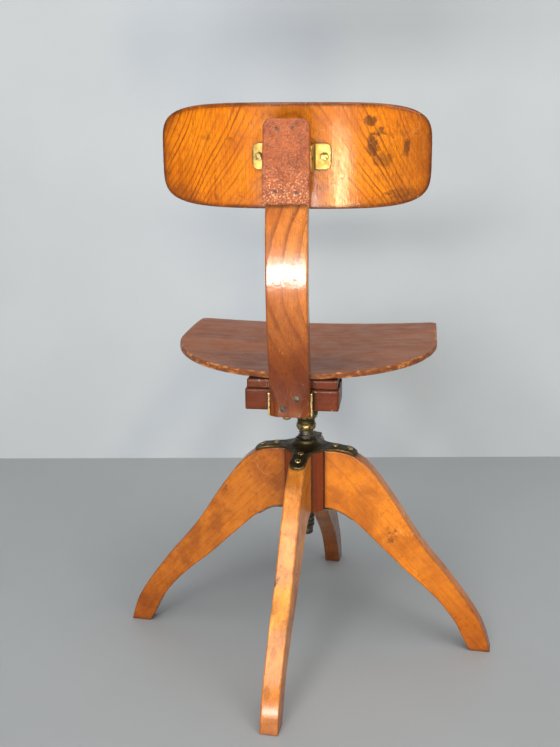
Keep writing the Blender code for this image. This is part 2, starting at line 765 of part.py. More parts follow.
def make_spine(seat):
    heights = [p.y for p in SPINE_LINE]
    rings = []
    for height in heights:
        front = spine_point(height, 0)
        rear = spine_point(height, SPINE_THICKNESS)
        stop = min(1, max(0, (500 * MM - height) / (35 * MM)))
        cut = 2 * MM + (SPINE_STOP_CHAMFER - 2 * MM) * stop
        side = front.lerp(rear, 1 - 0.55 * cut / SPINE_THICKNESS)
        x = SPINE_WIDTH / 2
        rings.append([(-x, front.x, front.y), (x, front.x, front.y), (x, side.x, side.y),
                      (x - cut, rear.x, rear.y), (-x + cut, rear.x, rear.y),
                      (-x, side.x, side.y)])
    spine = add_object("spine", loft_mesh("spine", rings), "honey_beech", seat)
    holes = [(PIVOT - Vector((40 * MM, 0, 0)), PIVOT + Vector((40 * MM, 0, 0)),
              PIVOT_RADIUS + GAP)]
    holes += spine_screw_holes() + nail_holes() + [end_screw_hole()]
    combine(spine, drill_cutter("spine_holes", holes, seat))


def spine_screw_places():
    """Heads of the two screws that hold the support to the block."""
    places = []
    for x, height in SPINE_SCREWS:
        rear = spine_point((height + 4) * MM, SPINE_THICKNESS).x
        places.append(Vector((x * MM, rear + GAP, height * MM)))
    return places


def spine_screw_holes():
    return [(place + Vector((0, 3 * MM, 0)), place - Vector((0, 52 * MM, 0)), SCREW_HOLE)
            for place in spine_screw_places()]


def end_screw_hole():
    place = Vector((END_SCREW_X, SPINE_LINE[0].x + SPINE_THICKNESS / 2, SPINE_LINE[0].y))
    return (place - Vector((0, 0, 3 * MM)), place + Vector((0, 0, 21 * MM)), SCREW_HOLE)


def nail_places():
    """(position, tilt) of the four nails in the cap pad."""
    places = []
    for x, height in CAP_NAILS:
        here = spine_point(height * MM, SPINE_THICKNESS + GAP + CAP_THICKNESS)
        above = spine_point(height * MM + MM, SPINE_THICKNESS + GAP + CAP_THICKNESS)
        tilt = math.atan2(here.x - above.x, above.y - here.y)
        places.append((Vector((x * MM, here.x, here.y)), tilt - math.pi / 2))
    return places


def nail_holes():
    holes = []
    for place, tilt in nail_places():
        axis = Matrix.Rotation(tilt, 3, "X") @ Vector((0, 0, 1))
        holes.append((place + axis * 4 * MM, place - axis * 25 * MM, NAIL_HOLE))
    return holes


def make_cap_pad(seat):
    """The thick pad nailed on the back of the support's top end, round at its top corners."""
    shoulder = CAP_TOP - CAP_CORNER
    heights = [CAP_BOTTOM, CAP_BOTTOM + 30 * MM, CAP_BOTTOM + 60 * MM, shoulder]
    heights += [shoulder + CAP_CORNER * math.sin(math.pi * i / 8) for i in (1, 2, 3)]
    heights += [CAP_TOP - 0.1 * MM]

    def width(height):
        past = max(0, height - shoulder)
        return CAP_WIDTH - 2 * (CAP_CORNER - math.sqrt(CAP_CORNER ** 2 - past ** 2))

    rings = support_rings(heights, width, SPINE_THICKNESS + GAP,
                          SPINE_THICKNESS + GAP + CAP_THICKNESS)
    pad = add_object("cap_pad", loft_mesh("cap_pad", rings), "leather", seat)
    combine(pad, drill_cutter("cap_holes", nail_holes(), seat, 8))
    places = [(place + Vector((0, 0.2 * MM, 0)), (tilt, 0, 0)) for place, tilt in nail_places()]
    add_screws("cap_nail", places, "dark_iron", seat)


def make_spine_bracket(seat):
    """A sheet channel between the block and the support, its cheeks along both sides."""
    inner = SPINE_WIDTH / 2 + GAP
    outer = inner + BRACKET_SHEET
    front = BLOCK_REAR + GAP
    web = SPINE_LINE[0].x - GAP
    rear = SPINE_LINE[0].x + BRACKET_CHEEK
    outline = [(-outer, front), (outer, front), (outer, rear), (inner, rear), (inner, web),
               (-inner, web), (-inner, rear), (-outer, rear)]
    bracket = add_object("spine_bracket", prism_mesh("spine_bracket", outline, BRACKET_HEIGHT),
                         "bronzed_iron", seat, (0, 0, BRACKET_CENTRE))
    combine(bracket, drill_cutter("bracket_holes", spine_screw_holes(), seat))


def make_spine_screws(seat):
    places = [(place, (-math.pi / 2, 0, 0)) for place in spine_screw_places()]
    add_screws("spine_screw", places, "dark_iron", seat)
    foot = end_screw_hole()[0] + Vector((0, 0, 3 * MM - GAP))
    turned_object("spine_end_screw", listed_screw("spine_end_screw"), "bronzed_iron", 16,
                  parent=seat, location=foot, rotation=(math.pi, 0, 0))


def make_seat():
    seat = add_empty("seat_turn")
    make_seat_panel(seat)
    make_seat_woodwork(seat)
    make_seat_screws(seat)
    make_holder(seat)
    make_spine(seat)
    make_spine_bracket(seat)
    make_spine_screws(seat)
    make_cap_pad(seat)
    return seat


# ---------------------------------------------------------------- backrest

def panel_depth(x):
    """How far the bent panel lies in front of its middle at a distance from its centre."""
    return PANEL_RADIUS - math.sqrt(PANEL_RADIUS ** 2 - x ** 2)


def panel_outline():
    points = []
    for i in range(44):
        a = TURN * i / 44
        power = 2 / PANEL_POWER
        x = PANEL_HALF_WIDTH * math.copysign(abs(math.cos(a)) ** power, math.cos(a))
        z = PANEL_HALF_HEIGHT * math.copysign(abs(math.sin(a)) ** power, math.sin(a))
        points.append((x, z))
    return points


def panel_surface(x, z):
    """Middle of the backrest ply, from the pivot. Its long edges arch up a little."""
    crown = PANEL_CROWN * (1 - (x / PANEL_HALF_WIDTH) ** 2)
    centre = PANEL_CENTRE_Z - PIVOT.z
    return (x, PANEL_REAR_Y - PLY / 2 - panel_depth(x) - PIVOT.y, centre + z + crown)


def bolt_places():
    """Ear bolts: the point on the panel's rear face and the turn of its normal."""
    places = []
    for side in (1, -1):
        turn = math.asin(EAR_BOLT_X / PANEL_RADIUS) * side
        y = PANEL_REAR_Y - panel_depth(EAR_BOLT_X) - PIVOT.y
        places.append((side, Vector((side * EAR_BOLT_X, y, -1 * MM)), turn))
    return places


def bolt_holes():
    holes = []
    for _, place, turn in bolt_places():
        axis = Matrix.Rotation(-turn, 3, "Z") @ Vector((0, 1, 0))
        holes.append((place + axis * 12 * MM, place - axis * 16 * MM, BOLT_HOLE))
    return holes


def make_ear(side, place, turn, back):
    """A brass ear: a flange on the panel and a cheek along the support, with the pin's hole."""
    inner = SPINE_WIDTH / 2 + 2 * GAP
    along = Vector((math.cos(turn), -math.sin(turn)))
    normal = Vector((along.y, -along.x)) * -1
    low = place.xy + normal * GAP
    flange_end = low + along * side * (EAR_REACH / 2)
    start = low + along * side * ((side * (inner + EAR_SHEET / 2) - low.x) / along.x * side)
    cheek_rear = 6.5 * MM
    outline = [
        (side * inner, cheek_rear), (side * inner, start.y),
        (flange_end.x, flange_end.y),
        (flange_end.x + normal.x * EAR_SHEET, flange_end.y + normal.y * EAR_SHEET),
        (side * (inner + EAR_SHEET), start.y + EAR_SHEET),
        (side * (inner + EAR_SHEET), cheek_rear),
    ]
    name = "ear_left" if side > 0 else "ear_right"
    mesh = prism_mesh(name, outline if side > 0 else outline[::-1], EAR_HEIGHT)
    bm = bmesh.new()
    bm.from_mesh(mesh)
    bmesh.ops.dissolve_limit(bm, angle_limit=0.01, verts=bm.verts, edges=bm.edges)
    ends = []
    for edge in bm.edges:
        a, b = (v.co for v in edge.verts)
        level = abs(a.z - b.z) < 0.1 * MM
        short = (a - b).length < EAR_SHEET * 1.2
        at_end = min(abs(a.x), abs(b.x)) > 45 * MM or min(a.y, b.y) > cheek_rear - 0.1 * MM
        if level and short and at_end:
            ends.append(edge)
    bmesh.ops.bevel(bm, geom=ends, offset=8 * MM, segments=4, profile=0.5, affect="EDGES")
    mesh = finish_mesh(name, bm)
    ear = add_object(name, mesh, "brass", back, (0, 0, -1 * MM))
    combine(ear, drill_cutter(f"{name}_bolt_hole", bolt_holes(), back))
    pin_hole = [((-40 * MM, 0, 0), (40 * MM, 0, 0), PIVOT_RADIUS + GAP)]
    combine(ear, drill_cutter(f"{name}_pin_hole", pin_hole, back))


def make_ear_bolts(back):
    """Carriage bolts from the front of the panel, each with a hex nut on its ear."""
    nut_seat = 2 * GAP + EAR_SHEET
    for side, place, turn in bolt_places():
        label = "left" if side > 0 else "right"
        axis = Matrix.Rotation(-turn, 3, "Z") @ Vector((0, 1, 0))
        head = place - axis * (PLY + BOLT_HEAD_GAP)
        profile = screw_profile(*BOLT_HEAD, BOLT_SHANK, PLY + nut_seat + BOLT_END)
        turned_object(f"ear_bolt_{label}", profile, "brass", 16, parent=back,
                      location=head, rotation=(math.pi / 2, 0, -turn))
        bm = bmesh.new()
        bmesh.ops.create_cone(bm, cap_ends=True, segments=6, radius1=NUT_HEX_RADIUS,
                              radius2=NUT_HEX_RADIUS, depth=NUT_HEIGHT)
        nut = add_object(f"ear_nut_{label}", finish_mesh("ear_nut", bm), "brass", back,
                         place + axis * (nut_seat + NUT_HEIGHT / 2), (math.pi / 2, 0, -turn))
        add_bevel(nut, 0.4 * MM)
        combine(nut, drill_cutter(f"ear_nut_bore_{label}", bolt_holes(), back))


def make_backrest(seat):
    back = add_empty("back_tilt", seat, PIVOT)
    panel = polar_shell("backrest_panel", panel_outline(), 5, panel_surface, "honey_beech",
                        PLY, parent=back)
    combine(panel, drill_cutter("panel_holes", bolt_holes(), back))
    for side, place, turn in bolt_places():
        make_ear(side, place, turn, back)
    make_ear_bolts(back)
    half = SPINE_WIDTH / 2 + 2 * GAP + EAR_SHEET + 1.5 * MM
    turned_object("tilt_pin", [(0, half), (PIVOT_RADIUS - 0.5 * MM, half),
                               (PIVOT_RADIUS, half - 0.5 * MM), (PIVOT_RADIUS, -half + 0.5 * MM),
                               (PIVOT_RADIUS - 0.5 * MM, -half), (0, -half)],
                  "dark_iron", 16, parent=back, rotation=(0, math.pi / 2, 0))


def main():
    start_scene()
    make_base()
    make_spindle()
    make_backrest(make_seat())


main()
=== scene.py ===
"""The looks of the drafting chair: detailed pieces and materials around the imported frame."""

import math

import bmesh
import bpy
from mathutils import Euler, Matrix, Vector, noise


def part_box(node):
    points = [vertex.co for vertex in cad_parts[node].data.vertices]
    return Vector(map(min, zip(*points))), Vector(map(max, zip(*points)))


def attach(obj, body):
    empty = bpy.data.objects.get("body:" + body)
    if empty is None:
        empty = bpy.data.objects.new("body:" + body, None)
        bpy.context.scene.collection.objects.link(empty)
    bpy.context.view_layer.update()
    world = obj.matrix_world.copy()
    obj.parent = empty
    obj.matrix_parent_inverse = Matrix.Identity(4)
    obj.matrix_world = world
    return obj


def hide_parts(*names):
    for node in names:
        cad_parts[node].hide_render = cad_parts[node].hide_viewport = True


MM = 0.001
TURN = 2 * math.pi
X_AXIS = Vector((1, 0, 0))

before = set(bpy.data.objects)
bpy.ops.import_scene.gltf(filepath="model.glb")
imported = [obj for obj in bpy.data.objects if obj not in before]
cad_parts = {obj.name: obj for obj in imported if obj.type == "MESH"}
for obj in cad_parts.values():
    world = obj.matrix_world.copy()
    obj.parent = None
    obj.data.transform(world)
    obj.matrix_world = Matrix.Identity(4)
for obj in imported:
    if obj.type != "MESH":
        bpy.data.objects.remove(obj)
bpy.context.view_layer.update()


# ---------------------------------------------------------------- lines and outlines

def spline(points, steps=8):
    """A Catmull-Rom line through points given in millimetres."""
    line = [Vector(point) * MM for point in points]
    ends = [2 * line[0] - line[1], *line, 2 * line[-1] - line[-2]]
    result = []
    for i in range(1, len(ends) - 2):
        a, b, c, d = ends[i - 1:i + 3]
        for step in range(steps):
            t = step / steps
            result.append(
                0.5 * (2 * b + (c - a) * t + (2 * a - 5 * b + 4 * c - d) * t ** 2
                       + (3 * b - a - 3 * c + d) * t ** 3)
            )
    return result + [line[-1]]


def polar(radius, angle, height=0):
    return Vector((radius * math.cos(angle), radius * math.sin(angle), height))


def evenly(line, count):
    """The same line with count points at equal steps along it."""
    lengths = [0]
    for a, b in zip(line, line[1:]):
        lengths.append(lengths[-1] + (b - a).length)
    result = []
    i = 0
    for k in range(count):
        target = lengths[-1] * k / (count - 1)
        while i < len(line) - 2 and lengths[i + 1] < target:
            i += 1
        share = (target - lengths[i]) / (lengths[i + 1] - lengths[i])
        result.append(line[i].lerp(line[i + 1], min(share, 1)))
    return result


def height_at(line, distance):
    """The second coordinate of a line where its first one is distance, held past its ends."""
    if distance <= min(line[0].x, line[-1].x):
        return (line[0] if line[0].x < line[-1].x else line[-1]).y
    for a, b in zip(line, line[1:]):
        if min(a.x, b.x) <= distance <= max(a.x, b.x):
            return a.y + (b.y - a.y) * (distance - a.x) / (b.x - a.x)
    return line[-1].y


def rounded(corners, radius, steps=3, support=0.8 * MM, middle=0):
    """An outline with soft corners, a support point past each one, and points between them."""
    result = []
    count = len(corners)
    radii = radius if isinstance(radius, list) else [radius] * count
    for i, corner in enumerate(corners):
        corner = Vector(corner)
        sides = [Vector(corners[i - 1]) - corner, Vector(corners[(i + 1) % count]) - corner]
        reach = [min(radii[i], side.length * 0.4) for side in sides]
        far = [min(r + support, side.length * 0.48) for r, side in zip(reach, sides)]
        start, end = (corner + side.normalized() * r for side, r in zip(sides, reach))
        result.append(corner + sides[0].normalized() * far[0])
        for k in range(steps + 1):
            t = k / steps
            result.append(start.lerp(corner, t).lerp(corner.lerp(end, t), t))
        last = corner + sides[1].normalized() * far[1]
        result.append(last)
        following = Vector(corners[(i + 1) % count])
        back = -sides[1].normalized()
        next_reach = min(radii[(i + 1) % count], sides[1].length * 0.4)
        stop = following + back * min(next_reach + support, sides[1].length * 0.48)
        for k in range(1, middle + 1):
            result.append(last.lerp(stop, k / (middle + 1)))
    return result


def inset(outline, amount):
    """An anticlockwise outline moved inward."""
    if amount == 0:
        return list(outline)
    result = []
    count = len(outline)
    for i, point in enumerate(outline):
        along = (outline[(i + 1) % count] - outline[i - 1]).normalized()
        result.append(point + Vector((-along.y, along.x)) * amount)
    return result


def shrunk(ring, amount):
    """A ring with every point moved towards its centre."""
    centre = sum(ring, Vector()) / len(ring)
    return [point + (centre - point).normalized() * amount for point in ring]


def rectangle(half, low, high):
    return [(-half, low), (half, low), (half, high), (-half, high)]


def placed_across(outline, start, direction):
    """An outline as a ring: its first axis on X, its second along a direction in the YZ plane."""
    return [Vector((p.x, start.x + direction.x * p.y, start.y + direction.y * p.y))
            for p in outline]


def upright(u, v, h):
    return Vector((u, v, h))


def quarter(radius, steps=3):
    """(inset, depth) pairs of a rounded end, from its flat face to its side."""
    angles = [math.pi / 2 * k / steps for k in range(steps + 1)]
    return [(radius * (1 - math.sin(a)), radius * (1 - math.cos(a))) for a in angles]


def prism_rings(outline, low, high, edge, place, rows=6):
    """Rings of an outline drawn from low to high with rounded ends. place turns (u, v, h)
    into a point."""
    span = high - low
    stations = [(amount, low + depth) for amount, depth in quarter(edge)]
    stations.append((0, low + edge + 1.2 * MM))
    for k in range(1, rows):
        stations.append((0, low + edge + (span - 2 * edge) * k / rows))
    stations.append((0, high - edge - 1.2 * MM))
    stations += [(amount, high - depth) for amount, depth in reversed(quarter(edge))]
    return [[place(p.x, p.y, h) for p in inset(outline, amount)] for amount, h in stations]


def wobble(point, size, amount, seed=0):
    """A smooth random length at a point."""
    shifted = Vector(point) / size + Vector((seed * 7.3, seed * 3.1, seed * 5.7))
    return noise.noise(shifted) * amount


# ---------------------------------------------------------------- meshes

def mark_edges(bm, name="wear", limit=math.radians(7)):
    """A vertex value that is 1 on convex arrises and 0 on flats, for the materials."""
    layer = bm.verts.layers.float.new(name)
    for vertex in bm.verts:
        sharp = 0
        for edge in vertex.link_edges:
            if len(edge.link_faces) == 2 and edge.calc_face_angle_signed() > limit:
                sharp = 1
        vertex[layer] = sharp


def new_object(name, data):
    obj = bpy.data.objects.new(name, data)
    bpy.context.scene.collection.objects.link(obj)
    return obj


def to_mesh(name, bm, angle=38):
    bmesh.ops.recalc_face_normals(bm, faces=bm.faces)
    mark_edges(bm)
    mesh = bpy.data.meshes.new(name)
    bm.to_mesh(mesh)
    bm.free()
    mesh.shade_smooth()
    mesh.set_sharp_from_angle(angle=math.radians(angle))
    return mesh


def skin(bm, rings, closed=False, caps=True):
    """Skin rings of equal length, with a face over each end, or joined end to end."""
    rows = [[bm.verts.new(point) for point in ring] for ring in rings]
    count = len(rows[0])
    pairs = list(zip(rows, rows[1:] + ([rows[0]] if closed else [])))
    for low, high in pairs:
        for i in range(count):
            j = (i + 1) % count
            bm.faces.new((low[i], low[j], high[j], high[i]))
    if caps and not closed:
        bm.faces.new(rows[0])
        bm.faces.new(rows[-1])


def loft(name, rings, closed=False, angle=38):
    bm = bmesh.new()
    skin(bm, rings, closed)
    return to_mesh(name, bm, angle)


def turned(name, profile, steps=48, angle=38):
    """A profile of (radius, height) turned about Z. Points at radius 0 become poles."""
    bm = bmesh.new()
    rows = []
    for radius, height in profile:
        if radius < 1e-6:
            rows.append([bm.verts.new((0, 0, height))])
            continue
        rows.append([bm.verts.new(polar(radius, TURN * i / steps, height))
                     for i in range(steps)])
    for low, high in zip(rows, rows[1:]):
        for i in range(steps):
            j = (i + 1) % steps
            face = [low[i % len(low)], low[j % len(low)],
                    high[j % len(high)], high[i % len(high)]]
            bm.faces.new(list(dict.fromkeys(face)))
    if rows[0][0].co == rows[-1][0].co and len(rows[0]) > 1:
        bmesh.ops.remove_doubles(bm, verts=bm.verts, dist=1e-7)
    return to_mesh(name, bm, angle)


def add_piece(name, mesh, body, material, replaced=(), matrix=None):
    """Link a mesh, put it on a body and hide the frame nodes it stands for."""
    obj = new_object(name, mesh)
    if matrix:
        obj.matrix_world = matrix
    if not mesh.materials:
        mesh.materials.append(material)
    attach(obj, body)
    if replaced:
        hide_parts(*replaced)
    return obj


def roughen(mesh, *waves):
    """Push the points of a mesh along their normals by smooth noise of each (size, depth)."""
    normals = [vertex.normal.copy() for vertex in mesh.vertices]
    for vertex, normal in zip(mesh.vertices, normals):
        point = vertex.co.copy()
        for seed, (size, depth) in enumerate(waves):
            vertex.co += normal * wobble(point, size, depth, seed)


def apply_modifiers(obj):
    bpy.context.view_layer.update()
    evaluated = obj.evaluated_get(bpy.context.evaluated_depsgraph_get())
    mesh = bpy.data.meshes.new_from_object(evaluated)
    obj.modifiers.clear()
    obj.data = mesh


# ---------------------------------------------------------------- materials

class Graph:
    """Short calls for building a node material."""

    def __init__(self, name):
        self.material = bpy.data.materials.new(name)
        self.material.use_nodes = True
        self.tree = self.material.node_tree
        self.shader = self.tree.nodes["Principled BSDF"]

    def node(self, kind, inputs=None, **settings):
        node = self.tree.nodes.new("ShaderNode" + kind)
        for key, value in settings.items():
            setattr(node, key, value)
        for key, value in (inputs or {}).items():
            self.feed(node.inputs[key], value)
        return node

    def feed(self, socket, value):
        if isinstance(value, bpy.types.NodeSocket):
            self.tree.links.new(value, socket)
        elif isinstance(value, tuple) and len(value) == 3 and socket.type == "RGBA":
            socket.default_value = (*value, 1)
        else:
            socket.default_value = value

    def math(self, operation, *values, clamp=False):
        inputs = dict(enumerate(values))
        return self.node("Math", inputs, operation=operation, use_clamp=clamp).outputs[0]

    def times(self, first, second):
        return self.math("MULTIPLY", first, second)

    def plus(self, first, second, clamp=False):
        return self.math("ADD", first, second, clamp=clamp)

    def minus(self, first, second, clamp=False):
        return self.math("SUBTRACT", first, second, clamp=clamp)

    def spread(self, value, low, high, to_low=0.0, to_high=1.0):
        """value from low to high becomes to_low to to_high, smoothly and held at its ends."""
        node = self.node("MapRange", {"Value": value, "From Min": low, "From Max": high,
                                      "To Min": to_low, "To Max": to_high},
                         interpolation_type="SMOOTHSTEP")
        return node.outputs["Result"]

    def noise(self, vector, scale, detail=2.0, roughness=0.55, distortion=0.0):
        node = self.node("TexNoise", {"Vector": vector, "Scale": scale, "Detail": detail,
                                      "Roughness": roughness, "Distortion": distortion})
        return node.outputs["Fac"]

    def cells(self, vector, scale):
        """The distance to the nearest of many scattered points."""
        return self.node("TexVoronoi", {"Vector": vector, "Scale": scale}).outputs["Distance"]

    def place(self, vector, scale=(1, 1, 1), turn=(0, 0, 0), shift=(0, 0, 0)):
        node = self.node("Mapping", {"Vector": vector, "Scale": Vector(scale),
                                     "Rotation": Euler(turn), "Location": Vector(shift)})
        return node.outputs[0]

    def coordinates(self):
        """Object coordinates, moved by a different amount on each object."""
        place = self.node("TexCoord").outputs["Object"]
        chance = self.node("ObjectInfo").outputs["Random"]
        shift = self.node("CombineXYZ", {0: self.times(chance, 3.7),
                                         1: self.times(chance, 1.9),
                                         2: self.times(chance, 2.3)}).outputs[0]
        moved = self.node("VectorMath", {0: place, 1: shift}, operation="ADD").outputs[0]
        return place, moved

    def mix(self, factor, first, second, blend="MIX"):
        node = self.node("Mix", data_type="RGBA", blend_type=blend)
        for index, value in ((0, factor), (6, first), (7, second)):
            self.feed(node.inputs[index], value)
        return node.outputs[2]

    def tint(self, colour, mask, share, other):
        """A colour with a share of another one laid over it where the mask is 1."""
        return self.mix(self.times(mask, share), colour, other)

    def attribute(self, name):
        return self.node("Attribute", attribute_name=name).outputs["Fac"]

    def crease_dirt_and_shade(self, distance, low=0.55, high=0.95):
        """1 in creases and 0 in the open, from ambient occlusion: dirt and painted shade."""
        node = self.node("AmbientOcclusion", {"Distance": distance}, samples=6)
        return self.spread(node.outputs["AO"], low, high, 1.0, 0.0)

    def worn(self):
        """1 on arrises and 0 on flats."""
        return self.attribute("wear")

    def spot(self, place, centre, radii):
        """A ragged blotch about a point: 1 inside and 0 outside."""
        away = self.node("VectorMath", {0: place, 1: Vector(centre)}, operation="SUBTRACT")
        scaled = self.node("VectorMath", {0: away.outputs[0], 1: Vector(radii)},
                           operation="DIVIDE")
        length = self.node("VectorMath", {0: scaled.outputs[0]}, operation="LENGTH")
        ragged = self.times(self.minus(self.noise(place, 150, 5.0, 0.7),
                                                 0.5), 1.8)
        return self.spread(self.plus(length.outputs["Value"], ragged), 0.6, 1.15, 1.0, 0.0)

    def bump(self, *layers):
        """Chain (height, depth in metres, strength) layers."""
        normal = None
        for height, depth, strength in layers:
            inputs = {"Height": height, "Distance": depth, "Strength": strength}
            if normal:
                inputs["Normal"] = normal
            normal = self.node("Bump", inputs).outputs[0]
        self.feed(self.shader.inputs["Normal"], normal)
        self.feed(self.shader.inputs["Coat Normal"], normal)


def set_shader(g, colour, roughness, metallic=0.0, coat=0.0, coat_roughness=0.1, specular=0.5):
    g.feed(g.shader.inputs["Base Color"], colour)
    g.feed(g.shader.inputs["Roughness"], roughness)
    g.feed(g.shader.inputs["Metallic"], metallic)
    g.shader.inputs["Coat Weight"].default_value = coat
    g.shader.inputs["Coat Roughness"].default_value = coat_roughness
    g.shader.inputs["Specular IOR Level"].default_value = specular
    return g.material


DARK_STAIN = (0.05, 0.018, 0.008)
SCORCHED = (0.16, 0.035, 0.006)
OLD_PAINT = (0.75, 0.66, 0.54)


def growth_lines(g, distance, grain, spacing, line):
    """1 on the dark lines of late wood, which vary in strength and spacing."""
    years = g.math("DIVIDE", distance, spacing)
    along = g.node("CombineXYZ", {0: years}).outputs[0]
    years = g.plus(years, g.times(g.noise(along, 0.45, 1.0), 1.6))
    ring = g.math("FRACT", years)
    share = g.times(g.spread(ring, 0.5, 0.92), g.spread(ring, 0.9, 1.0, 1.0, 0.0))
    uneven = g.spread(g.noise(g.place(grain, scale=(0.2, 1, 1)), 26, 2.0), 0.3, 0.7, 0.25, 1.0)
    strong = g.spread(g.noise(along, 1.7, 1.0), 0.35, 0.6, 0.4, 1.0)
    return g.times(g.times(share, strong), g.times(uneven, line))


def old_stains(g, colour, moved, stain, stain_colour):
    """Smears and fly spots. Returns the colour and the smears."""
    smear = g.noise(g.place(moved, shift=(2.1, 0.4, 0.9)), 19, 6.0, 0.68, 0.7)
    fine = g.noise(moved, 160, 3.0, 0.6)
    smear = g.plus(smear, g.times(g.minus(fine, 0.5), 0.16))
    smear = g.times(g.spread(smear, 0.6, 0.72), stain)
    colour = g.mix(smear, colour, stain_colour)
    dots = g.times(g.spread(g.cells(moved, 130), 0.05, 0.12, 1.0, 0.0),
                   g.spread(g.noise(moved, 41, 2.0), 0.52, 0.66))
    return g.tint(colour, dots, 0.75, stain_colour), smear


def fade_by_height(g, colour, height, fades):
    """Darken between heights, used for painted shade. Each fade is (dark height, clear height,
    tint).
    """
    for dark, clear, tint in fades:
        shares = (1.0, 0.0) if dark < clear else (0.0, 1.0)
        mask = g.spread(height, min(dark, clear), max(dark, clear), *shares)
        colour = g.mix(mask, colour, tint, "MULTIPLY")
    return colour


def scratches(g, stretched, moved, patch_scale, low, high):
    """1 on hairline scratches, which come in patches."""
    hair = g.math("ABSOLUTE", g.minus(stretched, 0.5))
    return g.times(g.spread(hair, 0.0, 0.006, 1.0, 0.0),
                   g.spread(g.noise(moved, patch_scale, 2.0), low, high))


def wood(name, palette, turn, spacing, slant=0.35, figure=None, sway=0.03, ripple=0.12,
         line=1.0, mottle=0.35, stain=0.35, stain_colour=DARK_STAIN, rim=(0.07, 0.022, 0.008),
         rim_share=0.5, gloss=0.34, coat=0.4, coat_roughness=0.14, pores=0.6, specks=0.0,
         chips=(0.72, 0.42, 0.2), chip_share=0.25, specular=0.12, burn=0.0, spots=(), fades=()):
    """Old varnished wood. palette is early wood, late wood and the deep tone of the mottle;
    turn brings the grain onto X; spacing is the width of a ring in metres."""
    early, late, deep = palette
    g = Graph(name)
    place, moved = g.coordinates()
    grain = g.place(moved, turn=turn)
    long_grain = g.place(grain, scale=(0.09, 1, 1))
    drift = g.minus(g.noise(long_grain, 11, 3.0, 0.5), 0.5)
    small_drift = g.minus(g.noise(long_grain, 70, 2.0, 0.6), 0.5)
    if figure:
        distance = figure(g, place)
    else:
        split = g.node("SeparateXYZ", {0: g.place(place, turn=turn)})
        distance = g.plus(split.outputs[1], g.times(split.outputs[2], slant))
    distance = g.plus(distance, g.times(drift, sway))
    distance = g.plus(distance, g.times(small_drift, sway * ripple))
    colour = g.mix(growth_lines(g, distance, grain, spacing, line), early, late)

    blotch = g.spread(g.noise(moved, 17, 5.0, 0.62, 0.4), 0.36, 0.72)
    colour = g.tint(colour, blotch, mottle, deep)
    grime = g.spread(g.noise(g.place(moved, shift=(3, 1, 2)), 130, 4.0, 0.7), 0.5, 0.72)
    colour = g.tint(colour, grime, mottle * 0.7, deep)
    fibre = g.noise(g.place(grain, scale=(0.035, 1, 1)), 620, 2.0, 0.6)
    colour = g.mix(g.spread(fibre, 0.4, 0.75, 0.0, 0.3), colour, late, "MULTIPLY")
    flecks = g.noise(g.place(grain, scale=(0.11, 1, 1)), 1500, 1.0, 0.5)
    pore = g.times(g.spread(flecks, 0.6, 0.72), pores)
    colour = g.mix(pore, colour, late)
    light = g.noise(g.place(grain, scale=(0.5, 1, 1), shift=(0.3, 0.1, 0.7)), 95, 3.0, 0.6)
    colour = g.mix(g.spread(light, 0.5, 0.8, 0.0, 0.22), colour, (1.0, 0.62, 0.24), "SOFT_LIGHT")

    colour, smear = old_stains(g, colour, moved, stain, stain_colour)
    for centre, radii, share in spots:
        on_rear = g.spread(g.attribute("ply"), 0.4, 0.6, share, 0.0)
        colour = g.tint(colour, g.spot(place, centre, radii), on_rear, stain_colour)
    if burn:
        singe = g.spread(g.attribute("border"), 0.86, 1.0)
        singe = g.times(singe, g.spread(g.noise(moved, 38, 3.0), 0.25, 0.65, 0.3, 1.0))
        colour = g.tint(colour, singe, burn, SCORCHED)
    height = g.node("SeparateXYZ", {0: place}).outputs[2]
    # darker by height as given in fades: painted shade under the seat and on the spine's
    # downward-facing part
    colour = fade_by_height(g, colour, g.plus(height, g.times(drift, 0.1)), fades)

    wear = g.worn()
    rub = g.noise(g.place(moved, shift=(0.5, 1.5, 2.5)), 75, 4.0, 0.65)
    rim_mask = g.times(wear, g.spread(rub, 0.3, 0.6, 0.35, 1.0))
    colour = g.tint(colour, rim_mask, rim_share, rim)
    chip = g.times(wear, g.spread(g.noise(moved, 120, 4.0, 0.7), 0.6, 0.68))
    colour = g.tint(colour, chip, chip_share, chips)
    # darker in creases and between parts: dirt and painted shade from ambient occlusion
    crease_dirt_and_shade = g.crease_dirt_and_shade(9 * MM)
    colour = g.tint(colour, crease_dirt_and_shade, 0.75, stain_colour)
    if specks:
        paint = g.times(g.spread(g.cells(moved, 260), 0.1, 0.16, 1.0, 0.0),
                        g.spread(g.noise(moved, 33, 2.0), 0.57, 0.64))
        colour = g.tint(colour, paint, specks, OLD_PAINT)
    stretched = g.noise(g.place(moved, scale=(1.0, 0.25, 0.6), turn=(0.4, 0.9, 0.3)), 60, 1.0, 0.4)
    scratch = scratches(g, stretched, moved, 13, 0.5, 0.68)
    colour = g.tint(colour, scratch, 0.3, chips)

    rough = g.spread(g.noise(moved, 34, 4.0, 0.6), 0.3, 0.75, gloss - 0.07, gloss + 0.16)
    rough = g.plus(rough, g.times(g.math("MAXIMUM", smear, crease_dirt_and_shade), 0.2))
    rough = g.plus(rough, g.times(scratch, 0.15), clamp=True)
    g.bump((g.noise(moved, 48, 2.0), 1.2 * MM, 0.12),
           (g.noise(moved, 150, 2.0), 0.5 * MM, 0.17),
           (fibre, 0.25 * MM, 0.35),
           (pore, 0.18 * MM, 0.5),
           (g.noise(moved, 420, 3.0, 0.6), 0.12 * MM, 0.35))
    return set_shader(g, colour, rough, 0.0, coat, coat_roughness, specular)


